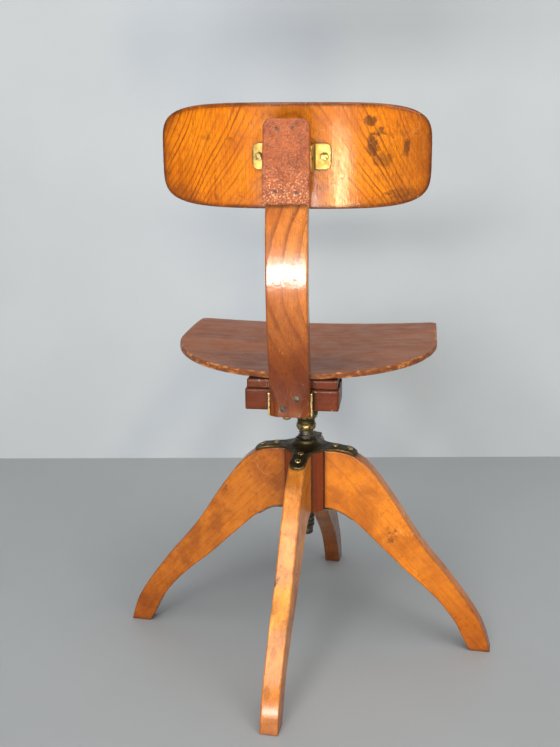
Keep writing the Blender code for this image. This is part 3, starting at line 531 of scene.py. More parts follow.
def metal(name, body, bright, tarnish, gloss=0.42, edge=0.8, grit=1.0, metallic=0.9,
          tarnish_share=0.6, cast=160):
    """Old cast or forged metal: a dull body with tarnish, grime and painted shade in its hollows,
    and bright worn edges.
    """
    g = Graph(name)
    _, moved = g.coordinates()
    cloud = g.spread(g.noise(moved, 70, 5.0, 0.65), 0.35, 0.7)
    colour = g.tint(body, cloud, tarnish_share, tarnish)
    fine = g.noise(moved, 900, 3.0, 0.6)
    colour = g.mix(g.spread(fine, 0.45, 0.75, 0.0, 0.35), colour, tarnish)
    point = g.node("NewGeometry").outputs["Pointiness"]
    patch = g.noise(moved, 210, 4.0, 0.65)
    ridge = g.plus(point, g.times(g.minus(patch, 0.5), 0.06))
    worn = g.spread(ridge, 0.515, 0.57)
    worn = g.math("MAXIMUM", worn, g.times(g.worn(), g.spread(patch, 0.4, 0.58)))
    worn = g.times(worn, edge)
    colour = g.mix(worn, colour, bright)
    # darker in hollows and between parts: grime and painted shade from ambient occlusion
    crease_dirt_and_shade = g.crease_dirt_and_shade(5 * MM, 0.4, 0.9)
    colour = g.tint(colour, crease_dirt_and_shade, 0.7, (0.012, 0.01, 0.008))
    rough = g.spread(g.noise(moved, 150, 4.0), 0.3, 0.7, gloss, gloss + 0.22)
    rough = g.minus(rough, g.times(worn, 0.12), clamp=True)
    shine = g.minus(metallic, g.times(crease_dirt_and_shade, 0.4), clamp=True)
    g.bump((g.noise(moved, cast, 4.0, 0.6), 0.7 * MM, 0.35 * grit),
           (fine, 0.2 * MM, 0.4 * grit))
    return set_shader(g, colour, rough, shine)


def turn_to_x(direction):
    """The rotation that brings a direction onto X, for the grain."""
    return tuple(Vector(direction).rotation_difference(X_AXIS).to_euler())


LEG_GRAIN = (0, 0.686, -0.727)
LEG_FINISH = dict(
    sway=0.05, line=0.45, mottle=0.75, stain=1.0, gloss=0.33, coat=0.45, coat_roughness=0.14,
    pores=0.45, stain_colour=(0.1, 0.028, 0.008), rim=(0.12, 0.034, 0.009), rim_share=0.4,
    # fades: darker near the top as painted shade under the seat, and darker towards the foot
    fades=[(0.4, 0.27, (0.7, 0.6, 0.52)), (0.02, 0.17, (0.6, 0.5, 0.42))])
REAR_LEG_SPOTS = [((x, 0, z), (wide, 1, tall), 0.35) for x, z, wide, tall in (
    (0, 0.012, 0.02, 0.016), (-0.008, 0.125, 0.008, 0.016), (0.009, 0.15, 0.006, 0.012),
    (0.002, 0.1, 0.005, 0.009), (0.006, 0.055, 0.006, 0.01))]
LEG_WOODS = {
    side: wood(f"{side}_leg_beech", palette, turn_to_x(LEG_GRAIN), 15 * MM,
               spots=REAR_LEG_SPOTS if side == "rear" else (), **LEG_FINISH)
    for side, palette in (
        ("rear", ((0.86, 0.34, 0.055), (0.45, 0.13, 0.015), (0.3, 0.075, 0.01))),
        ("right", ((0.7, 0.22, 0.014), (0.36, 0.085, 0.007), (0.32, 0.08, 0.007))),
        ("left", ((0.52, 0.16, 0.014), (0.26, 0.066, 0.007), (0.2, 0.044, 0.006))),
        # front: a darker copy of the leg beech, painted shade for the leg under the seat
        ("front", ((0.28, 0.1, 0.022), (0.15, 0.048, 0.011), (0.12, 0.034, 0.007))))}
SPINE_WOOD = wood(
    "spine_beech", ((0.62, 0.2, 0.03), (0.14, 0.03, 0.006), (0.34, 0.08, 0.011)),
    turn_to_x((0, 0, 1)), 8 * MM, sway=0.012, line=0.95, mottle=0.7, stain=0.7, gloss=0.3,
    coat=0.8, coat_roughness=0.1, pores=0.7, specks=0.5, rim=(0.08, 0.02, 0.006),
    # fades: the lower part darker as painted shade where its face turns downward
    specular=0.08, fades=[(0.49, 0.66, (0.28, 0.18, 0.08))])


def arch_figure(g, place):
    """Nested arches of a wide flat-cut sheet, its grain upright."""
    split = g.node("SeparateXYZ", {0: place})
    across = split.outputs[0]
    low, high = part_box("backrest_panel")
    up = g.minus(split.outputs[2], (low.z + high.z) / 2)
    squared = g.times(across, across)
    wide = g.math("SQRT", g.plus(squared, 0.035 ** 2))
    steep = g.times(squared, 2.0)
    lean = g.plus(g.times(up, 0.85), g.times(g.times(up, up), -2.2))
    return g.plus(g.plus(wide, steep), lean)


# dark blotches on the panel: share across, share up, half width, half height, strength
PANEL_STAINS = [
    (0.22, 0.82, 9 * MM, 8 * MM, 0.75),
    (0.21, 0.59, 8 * MM, 17 * MM, 0.8),
    (0.175, 0.47, 16 * MM, 12 * MM, 0.45),
    (0.09, 0.57, 5 * MM, 13 * MM, 0.7),
    (0.095, 0.14, 26 * MM, 9 * MM, 0.5),
    (0.82, 0.67, 10 * MM, 5 * MM, 0.3),
    (0.05, 0.4, 60 * MM, 70 * MM, 0.26),
    (0.12, 0.05, 60 * MM, 12 * MM, 0.35),
    (0.95, 0.1, 40 * MM, 18 * MM, 0.35),
]


def panel_spots():
    low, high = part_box("backrest_panel")
    return [((low.x + across * (high.x - low.x), high.y, low.z + up * (high.z - low.z)),
             (wide, 100 * MM, tall), share)
            for across, up, wide, tall, share in PANEL_STAINS]


PANEL_WOOD = wood(
    "panel_beech", ((0.74, 0.215, 0.007), (0.11, 0.018, 0.003), (0.4, 0.085, 0.004)),
    turn_to_x((0, 0, 1)), 12.5 * MM, figure=arch_figure, sway=0.045, ripple=0.03, line=1.0,
    mottle=0.7, stain=0.8, gloss=0.28, coat=0.6, coat_roughness=0.11, pores=0.7,
    rim=(0.09, 0.022, 0.004), rim_share=0.85, burn=0.8, spots=panel_spots(), specular=0.1)
HUB_WOOD = wood(
    "hub_mahogany", ((0.22, 0.042, 0.01), (0.11, 0.02, 0.006), (0.13, 0.027, 0.007)),
    turn_to_x((0, 0, 1)), 7 * MM, line=0.6, gloss=0.34, coat=0.3, stain=0.3)
BLOCK_WOOD = wood(
    "block_mahogany", ((0.13, 0.024, 0.006), (0.055, 0.01, 0.003), (0.065, 0.012, 0.004)),
    (0, 0, 0), 8 * MM, line=0.6, gloss=0.33, coat=0.2, stain=0.5, specks=0.8,
    chips=(0.75, 0.55, 0.35), chip_share=0.7, specular=0.04)

BRONZE = metal("dark_bronze", (0.085, 0.066, 0.03), (0.55, 0.39, 0.14), (0.026, 0.022, 0.012),
               gloss=0.36, edge=0.95)
IRON = metal("black_iron", (0.06, 0.055, 0.05), (0.25, 0.22, 0.17), (0.03, 0.018, 0.012),
             gloss=0.45, edge=0.5)
BRASS = metal("old_brass", (0.58, 0.38, 0.11), (0.92, 0.7, 0.3), (0.16, 0.095, 0.03),
              gloss=0.3, edge=0.7, grit=0.9, metallic=1.0, tarnish_share=0.75, cast=130)
SCREW_BRASS = metal("screw_brass", (0.2, 0.15, 0.06), (0.85, 0.64, 0.28), (0.05, 0.04, 0.02),
                    gloss=0.3, edge=1.0, grit=0.7, metallic=1.0)


# ---------------------------------------------------------------- base

BASE = Matrix.Rotation(math.radians(-4.3), 4, "Z")
LEG_HALF = 13.5 * MM
TOP_EDGE = spline([(32, 326), (58, 324.6), (80, 317.5), (105, 297), (140, 250), (185, 181),
                   (235, 119.5), (272, 68), (290, 34), (300, 0)])
LOW_EDGE = spline([(268, 0), (258, 18), (243, 47.5), (220, 78), (193, 105), (160, 133.5),
                   (130, 162.5), (104, 187.5), (82, 207.5), (60, 222), (44, 227.5),
                   (32, 229)])[::-1]
SIDES = ("rear", "right", "front", "left")


def leg_mesh(seed):
    """A sabre leg in its own plane, X across it and Y outward."""
    count = 84
    tops, lows = evenly(TOP_EDGE, count), evenly(LOW_EDGE, count)
    rings = []
    for top, low in zip(tops, lows):
        height = (top - low).length
        along = (top - low).normalized()
        half = LEG_HALF + wobble((top.x, top.y, 0), 60 * MM, 0.25 * MM, seed)
        soft = 1.9 * MM + wobble((top.x, top.y, 1), 24 * MM, 0.9 * MM, seed)
        outline = rounded(rectangle(half, 0, height), soft, middle=3)
        rings.append(placed_across(outline, low, along))
    rings.reverse()
    lifted = [a.lerp(b, 0.25) for a, b in zip(rings[0], rings[1])]
    return loft("leg", [shrunk(rings[0], 1.1 * MM), lifted, *rings[1:],
                        shrunk(rings[-1], 0.6 * MM)])


def make_legs():
    for number, side in enumerate(SIDES):
        matrix = BASE @ Matrix.Rotation(number * TURN / 4, 4, "Z")
        add_piece(f"sabre_leg_{side}", leg_mesh(number), "base", LEG_WOODS[side],
                  [f"leg_{side}"], matrix)


def make_hub():
    low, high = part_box("hub_block")
    half, flat = 31 * MM, 17.6 * MM
    corners = [(half, -flat), (half, flat), (flat, half), (-flat, half),
               (-half, flat), (-half, -flat), (-flat, -half), (flat, -half)]
    outline = rounded(corners, 1.6 * MM, middle=1)
    rings = prism_rings(outline, low.z, high.z, 1.2 * MM, upright, 8)
    bore = [polar(17.3 * MM, TURN * i / len(outline) - TURN / 8) for i in range(len(outline))]
    rings += [[p + Vector((0, 0, height)) for p in bore] for height in (high.z, low.z)]
    add_piece("hub_post", loft("hub_post", rings, closed=True), "base",
              HUB_WOOD, ["hub_block"], BASE)


def arm_seat(distance):
    return height_at(TOP_EDGE, distance) + 0.5 * MM


def strap_seat(distance):
    return min(height_at(LOW_EDGE, distance), 226.5 * MM) - 0.3 * MM


ARM_SCREWS = (47 * MM, 70 * MM)
STRAP_SCREW = 52 * MM


def arm_half_width(y):
    """A cast arm: a round web at the hub, a neck, and a slightly wider round end."""
    web_start = 54.5 * MM
    width = 12.3 * MM
    if y < web_start:
        web = 42 * MM
        width = min(web_start - math.sqrt(max(web ** 2 - (web_start - y) ** 2, 0)), y + MM)
    flare = math.exp(-((y - 70 * MM) / (9 * MM)) ** 2) * 0.9 * MM
    past = y - 73 * MM
    if past > 0:
        width = width - 9 * MM + math.sqrt(max((9 * MM) ** 2 - past ** 2, 0))
    return max(width + flare, 0.5 * MM)


def make_top_spider():
    """Cast top spider: four arms on the legs, a boss round the spindle, softened as a casting."""
    bm = bmesh.new()
    stations = [y * MM for y in (*range(18, 74, 2), 74.5, 76.5, 78.5, 80, 81, 81.7, 82)]
    for number in range(4):
        turn = Matrix.Rotation(number * TURN / 4, 3, "Z")
        rings = []
        for y in stations:
            x = arm_half_width(y)
            low = arm_seat(y)
            lift = sum(math.exp(-((y - r) / (7 * MM)) ** 2) for r in ARM_SCREWS) * 0.7 * MM
            high = low + 4 * MM + lift + max(0, 31 * MM - y) * 0.05
            soft = min(1.3 * MM, x * 0.5)
            section = [(-x, low), (x, low), (x, high - soft), (x - soft, high),
                       (soft - x, high), (-x, high - soft)]
            rings.append([turn @ Vector((u, y, v)) for u, v in section])
        skin(bm, rings)
    rim = arm_seat(0) + 1 * MM
    top = 341.5 * MM
    bore = 13.6 * MM
    profile = [(bore, rim), (bore, top), (16.5 * MM, top), (18 * MM, top - 1.5 * MM),
               (18.6 * MM, top - 5 * MM), (21 * MM, top - 6.8 * MM), (26 * MM, rim + 4.4 * MM),
               (31 * MM, rim + 3.6 * MM), (31 * MM, rim), (bore, rim)]
    boss = turned("boss", profile, 64)
    bm.from_mesh(boss)
    mesh = to_mesh("spider", bm)
    obj = add_piece("cast_spider", mesh, "base", BRONZE, ["top_spider"], BASE)
    remesh = obj.modifiers.new("cast", "REMESH")
    remesh.mode = "VOXEL"
    remesh.voxel_size = 0.8 * MM
    remesh.use_smooth_shade = True
    smooth = obj.modifiers.new("soften", "SMOOTH")
    smooth.factor = 0.5
    smooth.iterations = 4
    apply_modifiers(obj)
    roughen(obj.data, (6 * MM, 0.18 * MM), (2 * MM, 0.06 * MM))


def screw_mesh(name, head, height, shank, length, slot=True, steps=28):
    """A round-headed screw along Z with a slot, seated at height 0."""
    dome = [(head * math.sin(a), height * (0.12 + 0.88 * math.cos(a)))
            for a in (math.pi / 2 * i / 7 for i in range(8))]
    profile = dome + [(head * 0.985, 0), (shank, 0), (shank, -length + shank), (0, -length)]
    mesh = turned(name, profile, steps)
    if not slot:
        return mesh
    obj = new_object(name, mesh)
    cut = new_object(name + "_cut", bpy.data.meshes.new(name + "_cut"))
    bm = bmesh.new()
    size = Vector((head * 2.4, head * 0.24, height * 1.2))
    bmesh.ops.create_cube(bm, size=1.0, matrix=Matrix.Translation((0, 0, height * 1.15))
                          @ Matrix.Diagonal((*size, 1)))
    bm.to_mesh(cut.data)
    bm.free()
    boolean = obj.modifiers.new("slot", "BOOLEAN")
    boolean.operation = "DIFFERENCE"
    boolean.object = cut
    boolean.solver = "EXACT"
    apply_modifiers(obj)
    result = obj.data
    bpy.data.objects.remove(obj)
    bpy.data.objects.remove(cut)
    result.shade_smooth()
    result.set_sharp_from_angle(angle=math.radians(38))
    return result


def add_screws(label, node, places, sizes, body, material, matrix=None, slotted=True):
    """One screw for each (position, rotation), each turned by a different amount."""
    mesh = screw_mesh(label, *(size * MM for size in sizes), slot=slotted)
    for number, (position, rotation) in enumerate(places, 1):
        own = Matrix.Translation(position) @ Euler(rotation).to_matrix().to_4x4()
        own = own @ Matrix.Rotation(number * 2.1 + 0.4, 4, "Z")
        name = f"{node}_{number}" if len(places) > 1 else node
        add_piece(f"{label}_{number}", mesh, body, material, [name],
                  (matrix or Matrix()) @ own)


def slope_at(seat, radius):
    return (seat(radius + 2 * MM) - seat(radius - 2 * MM)) / (4 * MM)


def make_base_screws():
    tops, bottoms = [], []
    for number in range(4):
        angle = number * TURN / 4
        turn = Matrix.Rotation(angle, 3, "Z")
        for radius in ARM_SCREWS:
            place = Vector((0, radius, arm_seat(radius) + 4.6 * MM))
            tops.append((turn @ place, (math.atan(slope_at(arm_seat, radius)), 0, angle)))
        place = Vector((0, STRAP_SCREW, strap_seat(STRAP_SCREW) - 3.3 * MM))
        tilt = math.pi + math.atan(slope_at(strap_seat, STRAP_SCREW))
        bottoms.append((turn @ place, (tilt, 0, angle)))
    add_screws("brass_screw", "arm_screw", tops, (4.6, 2.4, 2, 22), "base",
               SCREW_BRASS, BASE, slotted=False)
    add_screws("under_screw", "strap_screw", bottoms, (4, 2, 2, 20), "base",
               IRON, BASE)


# ---------------------------------------------------------------- spindle and holder

def make_spindle():
    """The lifting screw: a square-shouldered helix, a plain foot and a plain journal."""
    foot, start, end, journal, tip = 179 * MM, 187 * MM, 353 * MM, 355 * MM, 430 * MM
    pitch, root, depth, journal_radius = 7 * MM, 10.6 * MM, 2.4 * MM, 9 * MM
    sides, per_turn = 40, 12
    angles = [TURN * i / sides for i in range(sides)]

    def ring(height, radius):
        return [polar(radius, a, height) for a in angles]

    rings = [ring(foot, root - 1.5 * MM), ring(foot + MM, root - 0.4 * MM),
             ring(foot + 2 * MM, root), ring(start - MM, root)]
    for row in range(int((end - start) / (pitch / per_turn)) + 1):
        z = start + row * pitch / per_turn
        fade = max(0, min(1, (z - start) / pitch, (end - z) / pitch))
        points = []
        for a in angles:
            wave = 0.5 + 1.25 * math.sin(TURN * z / pitch - a)
            radius = root + depth * fade * min(1, max(0, wave))
            points.append(polar(radius, a, z))
        rings.append(points)
    rings += [ring(journal, root), ring(journal + 0.2 * MM, journal_radius),
              ring(tip - MM, journal_radius), ring(tip, journal_radius - MM)]
    add_piece("lifting_screw", loft("lifting_screw", rings), "spindle", IRON,
              ["spindle"])


HOLDER_BOTTOM, HOLDER_TOP = 356 * MM, 445.7 * MM
BLOCK_BOTTOM = 446 * MM
# (radius, height above the bottom) of its outside in millimetres, down from the flange
HOLDER_OUTSIDE = [
    (25, 83.7), (23.4, 81.5), (22, 78.7), (20.4, 72), (19.5, 63.7), (19, 45), (18.6, 27),
    (18.3, 24.5), (17.5, 21.5), (15.4, 19), (14.2, 17.6), (13.7, 15.6), (13.7, 12.4), (14, 11),
    (14.9, 10), (15.6, 8.6), (15.9, 6.6), (15.6, 4.6), (14.9, 2.8), (14, 1.2), (12.6, 0)]


def make_holder():
    """The turned bronze socket with its flange under the beam."""
    flange, thick, bore = 42 * MM, 6 * MM, 9.3 * MM
    bore_end = HOLDER_BOTTOM + 75 * MM
    line = [(0, HOLDER_TOP), (flange - MM, HOLDER_TOP), (flange, HOLDER_TOP - MM),
            (flange, HOLDER_TOP - thick + MM), (flange - MM, HOLDER_TOP - thick)]
    line += [(radius * MM, HOLDER_BOTTOM + height * MM) for radius, height in HOLDER_OUTSIDE]
    line += [(bore, HOLDER_BOTTOM), (bore, bore_end), (0, bore_end)]
    add_piece("turned_socket", turned("socket", line, 64), "seat", BRONZE,
              ["spindle_holder"])
    head_height = HOLDER_TOP - thick - 0.2 * MM
    places = [(polar(31 * MM, TURN * (i + 0.5) / 4, head_height), (math.pi, 0, 0))
              for i in range(4)]
    add_screws("flange_screw_head", "flange_screw", places, (4.2, 2.4, 2, 20), "seat",
               IRON)
    grub = ((0, -19.8 * MM, HOLDER_BOTTOM + 38 * MM), (math.pi / 2, 0, 0))
    add_screws("grub_screw", "set_screw", [grub], (4.5, 3, 2.5, 10.2), "seat", IRON)


# ---------------------------------------------------------------- bent sheets

def sheet_mesh(name, outline, surface, thickness, edge, rings=20):
    """A closed sheet of even thickness round a curved middle surface, with a soft rim.
    Vertex values: ply runs from 0 below to 1 above, and rim is 1 on the cut edge."""
    half = thickness / 2
    step = 0.5 * MM

    def at(u, v, offset):
        middle = Vector(surface(u, v))
        du = Vector(surface(u + step, v)) - Vector(surface(u - step, v))
        dv = Vector(surface(u, v + step)) - Vector(surface(u, v - step))
        return middle + du.cross(dv).normalized() * offset

    stations = []                              # (share of the outline, inset, offset)
    for k in range(1, rings):
        stations.append((1 - (1 - k / rings) ** 1.15, 0, half))
    arc = quarter(edge, 4)
    stations.append((1, edge + 3 * MM, half))
    stations += [(1, amount, half - depth) for amount, depth in arc]
    stations += [(1, 0, (half - edge) * s) for s in (0.5, 0, -0.5)]
    stations += [(1, amount, depth - half) for amount, depth in reversed(arc)]
    stations.append((1, edge + 3 * MM, -half))
    for k in reversed(range(1, rings)):
        stations.append((1 - (1 - k / rings) ** 1.15, 0, -half))
    bm = bmesh.new()
    ply = bm.verts.layers.float.new("ply")
    rim = bm.verts.layers.float.new("rim")
    border = bm.verts.layers.float.new("border")
    points = [Vector(p) for p in outline]

    def vertex(u, v, offset, share, on_rim):
        new = bm.verts.new(at(u, v, offset))
        new[ply] = 0.5 + offset / thickness
        new[rim] = on_rim
        new[border] = share
        return new

    rows = []
    for share, amount, offset in stations:
        ring = inset([p * share for p in points], amount)
        on_rim = 1.0 if share == 1 and amount < edge * 0.9 else 0.0
        rows.append([vertex(p.x, p.y, offset, share, on_rim) for p in ring])
    top, bottom = vertex(0, 0, half, 0, 0), vertex(0, 0, -half, 0, 0)
    count = len(points)
    for i in range(count):
        j = (i + 1) % count
        bm.faces.new((top, rows[0][i], rows[0][j]))
        bm.faces.new((bottom, rows[-1][j], rows[-1][i]))
        for low, high in zip(rows, rows[1:]):
            bm.faces.new((low[i], high[i], high[j], low[j]))
    return to_mesh(name, bm, 60)


SEAT_HALF, SEAT_FRONT, SEAT_REAR, SHOULDER = 200.5 * MM, -195 * MM, 185 * MM, -32 * MM


def seat_height(x, y):
    rise = 6 * MM * (x / SEAT_HALF) ** 2
    rise += 10.4 * MM * (y / SEAT_REAR) ** 2 if y > 0 else -9.5 * MM * (y / SEAT_FRONT) ** 2
    return 485 * MM + rise


def squarish(angle, wide, tall, power):
    """A point of a superellipse."""
    return tuple(size * math.copysign(abs(part) ** power, part)
                 for size, part in ((wide, math.cos(angle)), (tall, math.sin(angle))))


def seat_outline():
    """Straight front and sides, soft front corners and a round back, anticlockwise."""
    points = []
    for i in range(97):
        x, y = squarish(math.pi * i / 96, SEAT_HALF, SEAT_REAR - SHOULDER, 2 / 1.85)
        points.append((x, SHOULDER + y))
    corner = 14 * MM
    drop = SEAT_FRONT + corner - SHOULDER
    left = [(-SEAT_HALF, SHOULDER + drop * i / 12) for i in range(1, 12)]
    left += [(-SEAT_HALF + corner + corner * math.cos(a), SEAT_FRONT + corner
              + corner * math.sin(a)) for a in (math.pi * (1 + i / 14) for i in range(8))]
    span = SEAT_HALF - corner
    left += [(-span + span * i / 12, SEAT_FRONT) for i in range(1, 13)]
    return points + left + [(-x, y) for x, y in reversed(left[:-1])]


PANEL_HALF, PANEL_TALL = 183 * MM, 69.5 * MM
PANEL_RADIUS, PANEL_REAR, PANEL_Z, PLY = 400 * MM, 168 * MM, 791 * MM, 9 * MM


def panel_depth(x):
    return PANEL_RADIUS - math.sqrt(PANEL_RADIUS ** 2 - x ** 2)


def panel_surface(x, z):
    crown = 2.5 * MM * (1 - (x / PANEL_HALF) ** 2)
    return (x, PANEL_REAR - PLY / 2 - panel_depth(x), PANEL_Z + z + crown)


def panel_outline():
    points = [Vector(squarish(TURN * i / 180, PANEL_HALF, PANEL_TALL, 2 / 4.8))
              for i in range(180)]
    return [(p.x, p.y) for p in evenly(points + points[:1], 181)[:-1]]


def seat_material():
    """Matt, hazy old mahogany stain over ply, with bright chips along its edge."""
    g = Graph("seat_stain")
    place, moved = g.coordinates()
    grain = g.place(place, scale=(0.05, 1, 1))
    streak = g.noise(grain, 210, 4.0, 0.6)
    broad = g.noise(g.place(place, scale=(0.2, 1, 1)), 18, 3.0, 0.5)
    colour = g.mix(g.spread(streak, 0.35, 0.7), (0.29, 0.088, 0.03), (0.15, 0.04, 0.015))
    colour = g.mix(g.spread(broad, 0.4, 0.7, 0.0, 0.5), colour, (0.38, 0.12, 0.04))
    haze = g.spread(g.noise(place, 9, 5.0, 0.65, 0.5), 0.4, 0.7, 0.05, 0.4)
    colour = g.mix(haze, colour, (0.28, 0.13, 0.075))
    worn_patch = g.spread(g.noise(g.place(place, shift=(1, 2, 3)), 7, 5.0, 0.7), 0.55, 0.75)
    colour = g.tint(colour, worn_patch, 0.35, (0.13, 0.045, 0.028))
    pore = g.spread(g.noise(g.place(place, scale=(0.12, 1, 1)), 1300, 1.0), 0.6, 0.74)
    colour = g.tint(colour, pore, 0.55, (0.08, 0.028, 0.018))
    stretched = g.noise(g.place(place, turn=(0, 0, 0.5), scale=(0.3, 1, 1)), 42, 1.0)
    scratch = scratches(g, stretched, moved, 12, 0.48, 0.64)
    colour = g.tint(colour, scratch, 0.4, (0.45, 0.3, 0.22))
    layer = g.math("FRACT", g.times(g.attribute("ply"), 3.5))
    glue = g.spread(layer, 0.8, 0.95)
    bare = g.mix(glue, (0.55, 0.2, 0.05), (0.12, 0.035, 0.014))
    rim = g.attribute("rim")
    rub = g.noise(g.place(moved, scale=(1, 1, 3)), 60, 5.0, 0.7)
    stained = g.mix(g.spread(g.noise(moved, 150, 3.0), 0.3, 0.6, 0.65, 0.95), bare,
                    (0.14, 0.036, 0.014))
    edge = g.mix(g.spread(rub, 0.54, 0.62), stained, bare)
    colour = g.mix(rim, colour, edge)
    low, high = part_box("rear_block")
    shade = g.spot(place, (0, low.y, high.z), (0.13, 0.07, 0.1))
    colour = g.tint(colour, shade, 0.5, (0.1, 0.035, 0.018))
    chip = g.times(g.worn(), g.spread(rub, 0.52, 0.62, 0.05, 0.75))
    colour = g.mix(chip, colour, (0.55, 0.21, 0.06))
    # darker in creases and between parts: dirt and painted shade from ambient occlusion
    crease_dirt_and_shade = g.crease_dirt_and_shade(8 * MM)
    colour = g.tint(colour, crease_dirt_and_shade, 0.6, (0.05, 0.02, 0.012))
    rough = g.spread(g.noise(moved, 30, 4.0), 0.3, 0.7, 0.42, 0.6)
    g.bump((g.noise(place, 30, 2.0), 1.0 * MM, 0.12), (streak, 0.25 * MM, 0.3),
           (pore, 0.15 * MM, 0.4), (glue, 0.2 * MM, 0.4))
    return set_shader(g, colour, rough, 0.0, 0.0, 0.35, 0.25)


def cap_material():
    """Coarse dark-red varnished hide, pitted all over, with paler rubbed pits and pale flecks
    painted on its lower part as highlight sparkle.
    """
    g = Graph("cap_hide")
    place, moved = g.coordinates()
    body = g.mix(g.spread(g.noise(moved, 60, 5.0, 0.65), 0.35, 0.7), (0.4, 0.09, 0.016),
                 (0.2, 0.036, 0.008))
    pits = g.cells(g.place(moved, scale=(1, 1, 0.8)), 720)
    grit = g.noise(moved, 950, 3.0, 0.65)
    body = g.mix(g.spread(pits, 0.15, 0.5, 0.55, 0.0), body, (0.09, 0.024, 0.014))
    body = g.mix(g.spread(grit, 0.55, 0.72, 0.0, 0.6), body, (0.62, 0.3, 0.17))
    low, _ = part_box("cap_pad")
    height = g.node("SeparateXYZ", {0: place}).outputs[2]
    # pale flecks on the lower part: painted highlight sparkle
    lower_sparkle_share = g.spread(height, low.z + 5 * MM, low.z + 60 * MM, 1.0, 0.15)
    painted_sparkle = g.spread(g.noise(moved, 400, 4.0, 0.75), 0.5, 0.66)
    body = g.tint(body, painted_sparkle, lower_sparkle_share, (0.92, 0.5, 0.27))
    hollow = g.spread(g.noise(g.place(moved, shift=(4, 2, 1)), 300, 3.0, 0.7), 0.52, 0.64)
    body = g.tint(body, hollow, 0.6, (0.17, 0.03, 0.01))
    wear = g.times(g.worn(), g.spread(g.noise(moved, 130, 4.0), 0.4, 0.6, 0.2, 0.9))
    body = g.tint(body, wear, 0.7, (0.08, 0.02, 0.012))
    # darker in creases and between parts: dirt and painted shade from ambient occlusion
    crease_dirt_and_shade = g.crease_dirt_and_shade(6 * MM)
    body = g.tint(body, crease_dirt_and_shade, 0.7, (0.03, 0.01, 0.007))
    rough = g.spread(g.noise(moved, 300, 3.0), 0.3, 0.7, 0.34, 0.5)
    g.bump((g.noise(moved, 240, 3.0, 0.6), 1.0 * MM, 0.6), (pits, 0.7 * MM, 1.0),
           (grit, 0.5 * MM, 0.9))
    return set_shader(g, body, rough, 0.0, 0.5, 0.16, 0.15)


def make_seat_panel():
    mesh = sheet_mesh("bent_seat", seat_outline(), lambda x, y: (x, y, seat_height(x, y)),
                      PLY, 1.8 * MM, 22)
    add_piece("bent_seat", mesh, "seat", seat_material(), ["seat_panel"])


def make_woodwork():
    """Block, beam and packers under the seat."""
    for node, name, soft, rows in (("rear_block", "bearer_block", 2.6 * MM, 12),
                                   ("seat_beam", "long_beam", 2 * MM, 12),
                                   ("rear_riser", "rear_packer", 1.8 * MM, 8),
                                   ("front_riser", "front_packer", 1.8 * MM, 6)):
        low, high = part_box(node)
        if node == "seat_beam":
            high.y -= 30 * MM
        corners = [(low.y, low.z), (high.y, low.z), (high.y, high.z), (low.y, high.z)]
        if "riser" in node:
            corners[2] = (high.y, seat_height(0, high.y) - PLY / 2 - 0.8 * MM)
            corners[3] = (low.y, seat_height(0, low.y) - PLY / 2 - 0.8 * MM)
        outline = rounded(corners, soft, middle=2)
        rings = prism_rings(outline, low.x, high.x, soft * 0.8,
                            lambda u, v, h: Vector((h, u, v)), rows)
        for ring in rings:
            for point in ring:
                point += Vector((0, wobble(point, 40 * MM, 0.3 * MM), 0))
        add_piece(name, loft(name, rings), "seat", BLOCK_WOOD, [node])
    for label, node, y in (("rear_long_screw", "rear_seat_screw", 156 * MM),
                           ("front_long_screw", "front_seat_screw", -98 * MM)):
        base = BLOCK_BOTTOM if y > 0 else 466.3 * MM
        height = base - 0.2 * MM
        length = seat_height(45 * MM, y) - MM - height
        places = [((x, y, height), (math.pi, 0, 0)) for x in (-45 * MM, 45 * MM)]
        add_screws(label, node, places, (4.2, 2.2, 2, length / MM), "seat", IRON)


# ---------------------------------------------------------------- back support

SPINE_LINE = spline([(189.8, 443.5), (189.8, 462), (193, 500), (206, 560), (214, 620),
                     (212, 690), (202, 760), (190, 836)], 10)
SPINE_THICK, SPINE_HALF = 20 * MM, 28 * MM


def spine_point(height, outward):
    """(y, z) at a height on the support's front face, moved outward along its normal."""
    for a, b in zip(SPINE_LINE, SPINE_LINE[1:]):
        if height <= b.y or b is SPINE_LINE[-1]:
            break
    along = (b - a).normalized()
    return a + (b - a) * (height - a.y) / (b.y - a.y) + Vector((along.y, -along.x)) * outward


def make_spine():
    rings = []
    for station in SPINE_LINE:
        height = station.y
        front, rear = spine_point(height, 0), spine_point(height, SPINE_THICK)
        stop = min(1, max(0, (500 * MM - height) / (35 * MM)))
        cut = 1.6 * MM + 9.4 * MM * stop ** 1.4
        cut += wobble((0, 0, height), 30 * MM, 0.5 * MM)
        deep = 0.55 * cut
        half = SPINE_HALF + wobble((1, 0, height), 70 * MM, 0.25 * MM)
        corners = [(-half, 0), (half, 0), (half, SPINE_THICK - deep), (half - cut, SPINE_THICK),
                   (-half + cut, SPINE_THICK), (-half, SPINE_THICK - deep)]
        outline = rounded(corners, [1.6 * MM] * 2 + [1.1 * MM] * 4, 2, 1.2 * MM, 2)
        normal = (rear - front).normalized()
        rings.append(placed_across(outline, front, normal))
    for _ in range(2):
        full = [a.lerp(b, 0.12) for a, b in zip(rings[0], rings[1])]
        rings = [shrunk(rings[0], 0.9 * MM), full] + rings[1:]
        rings.reverse()
    add_piece("back_spine", loft("back_spine", rings), "seat", SPINE_WOOD,
              ["spine"])


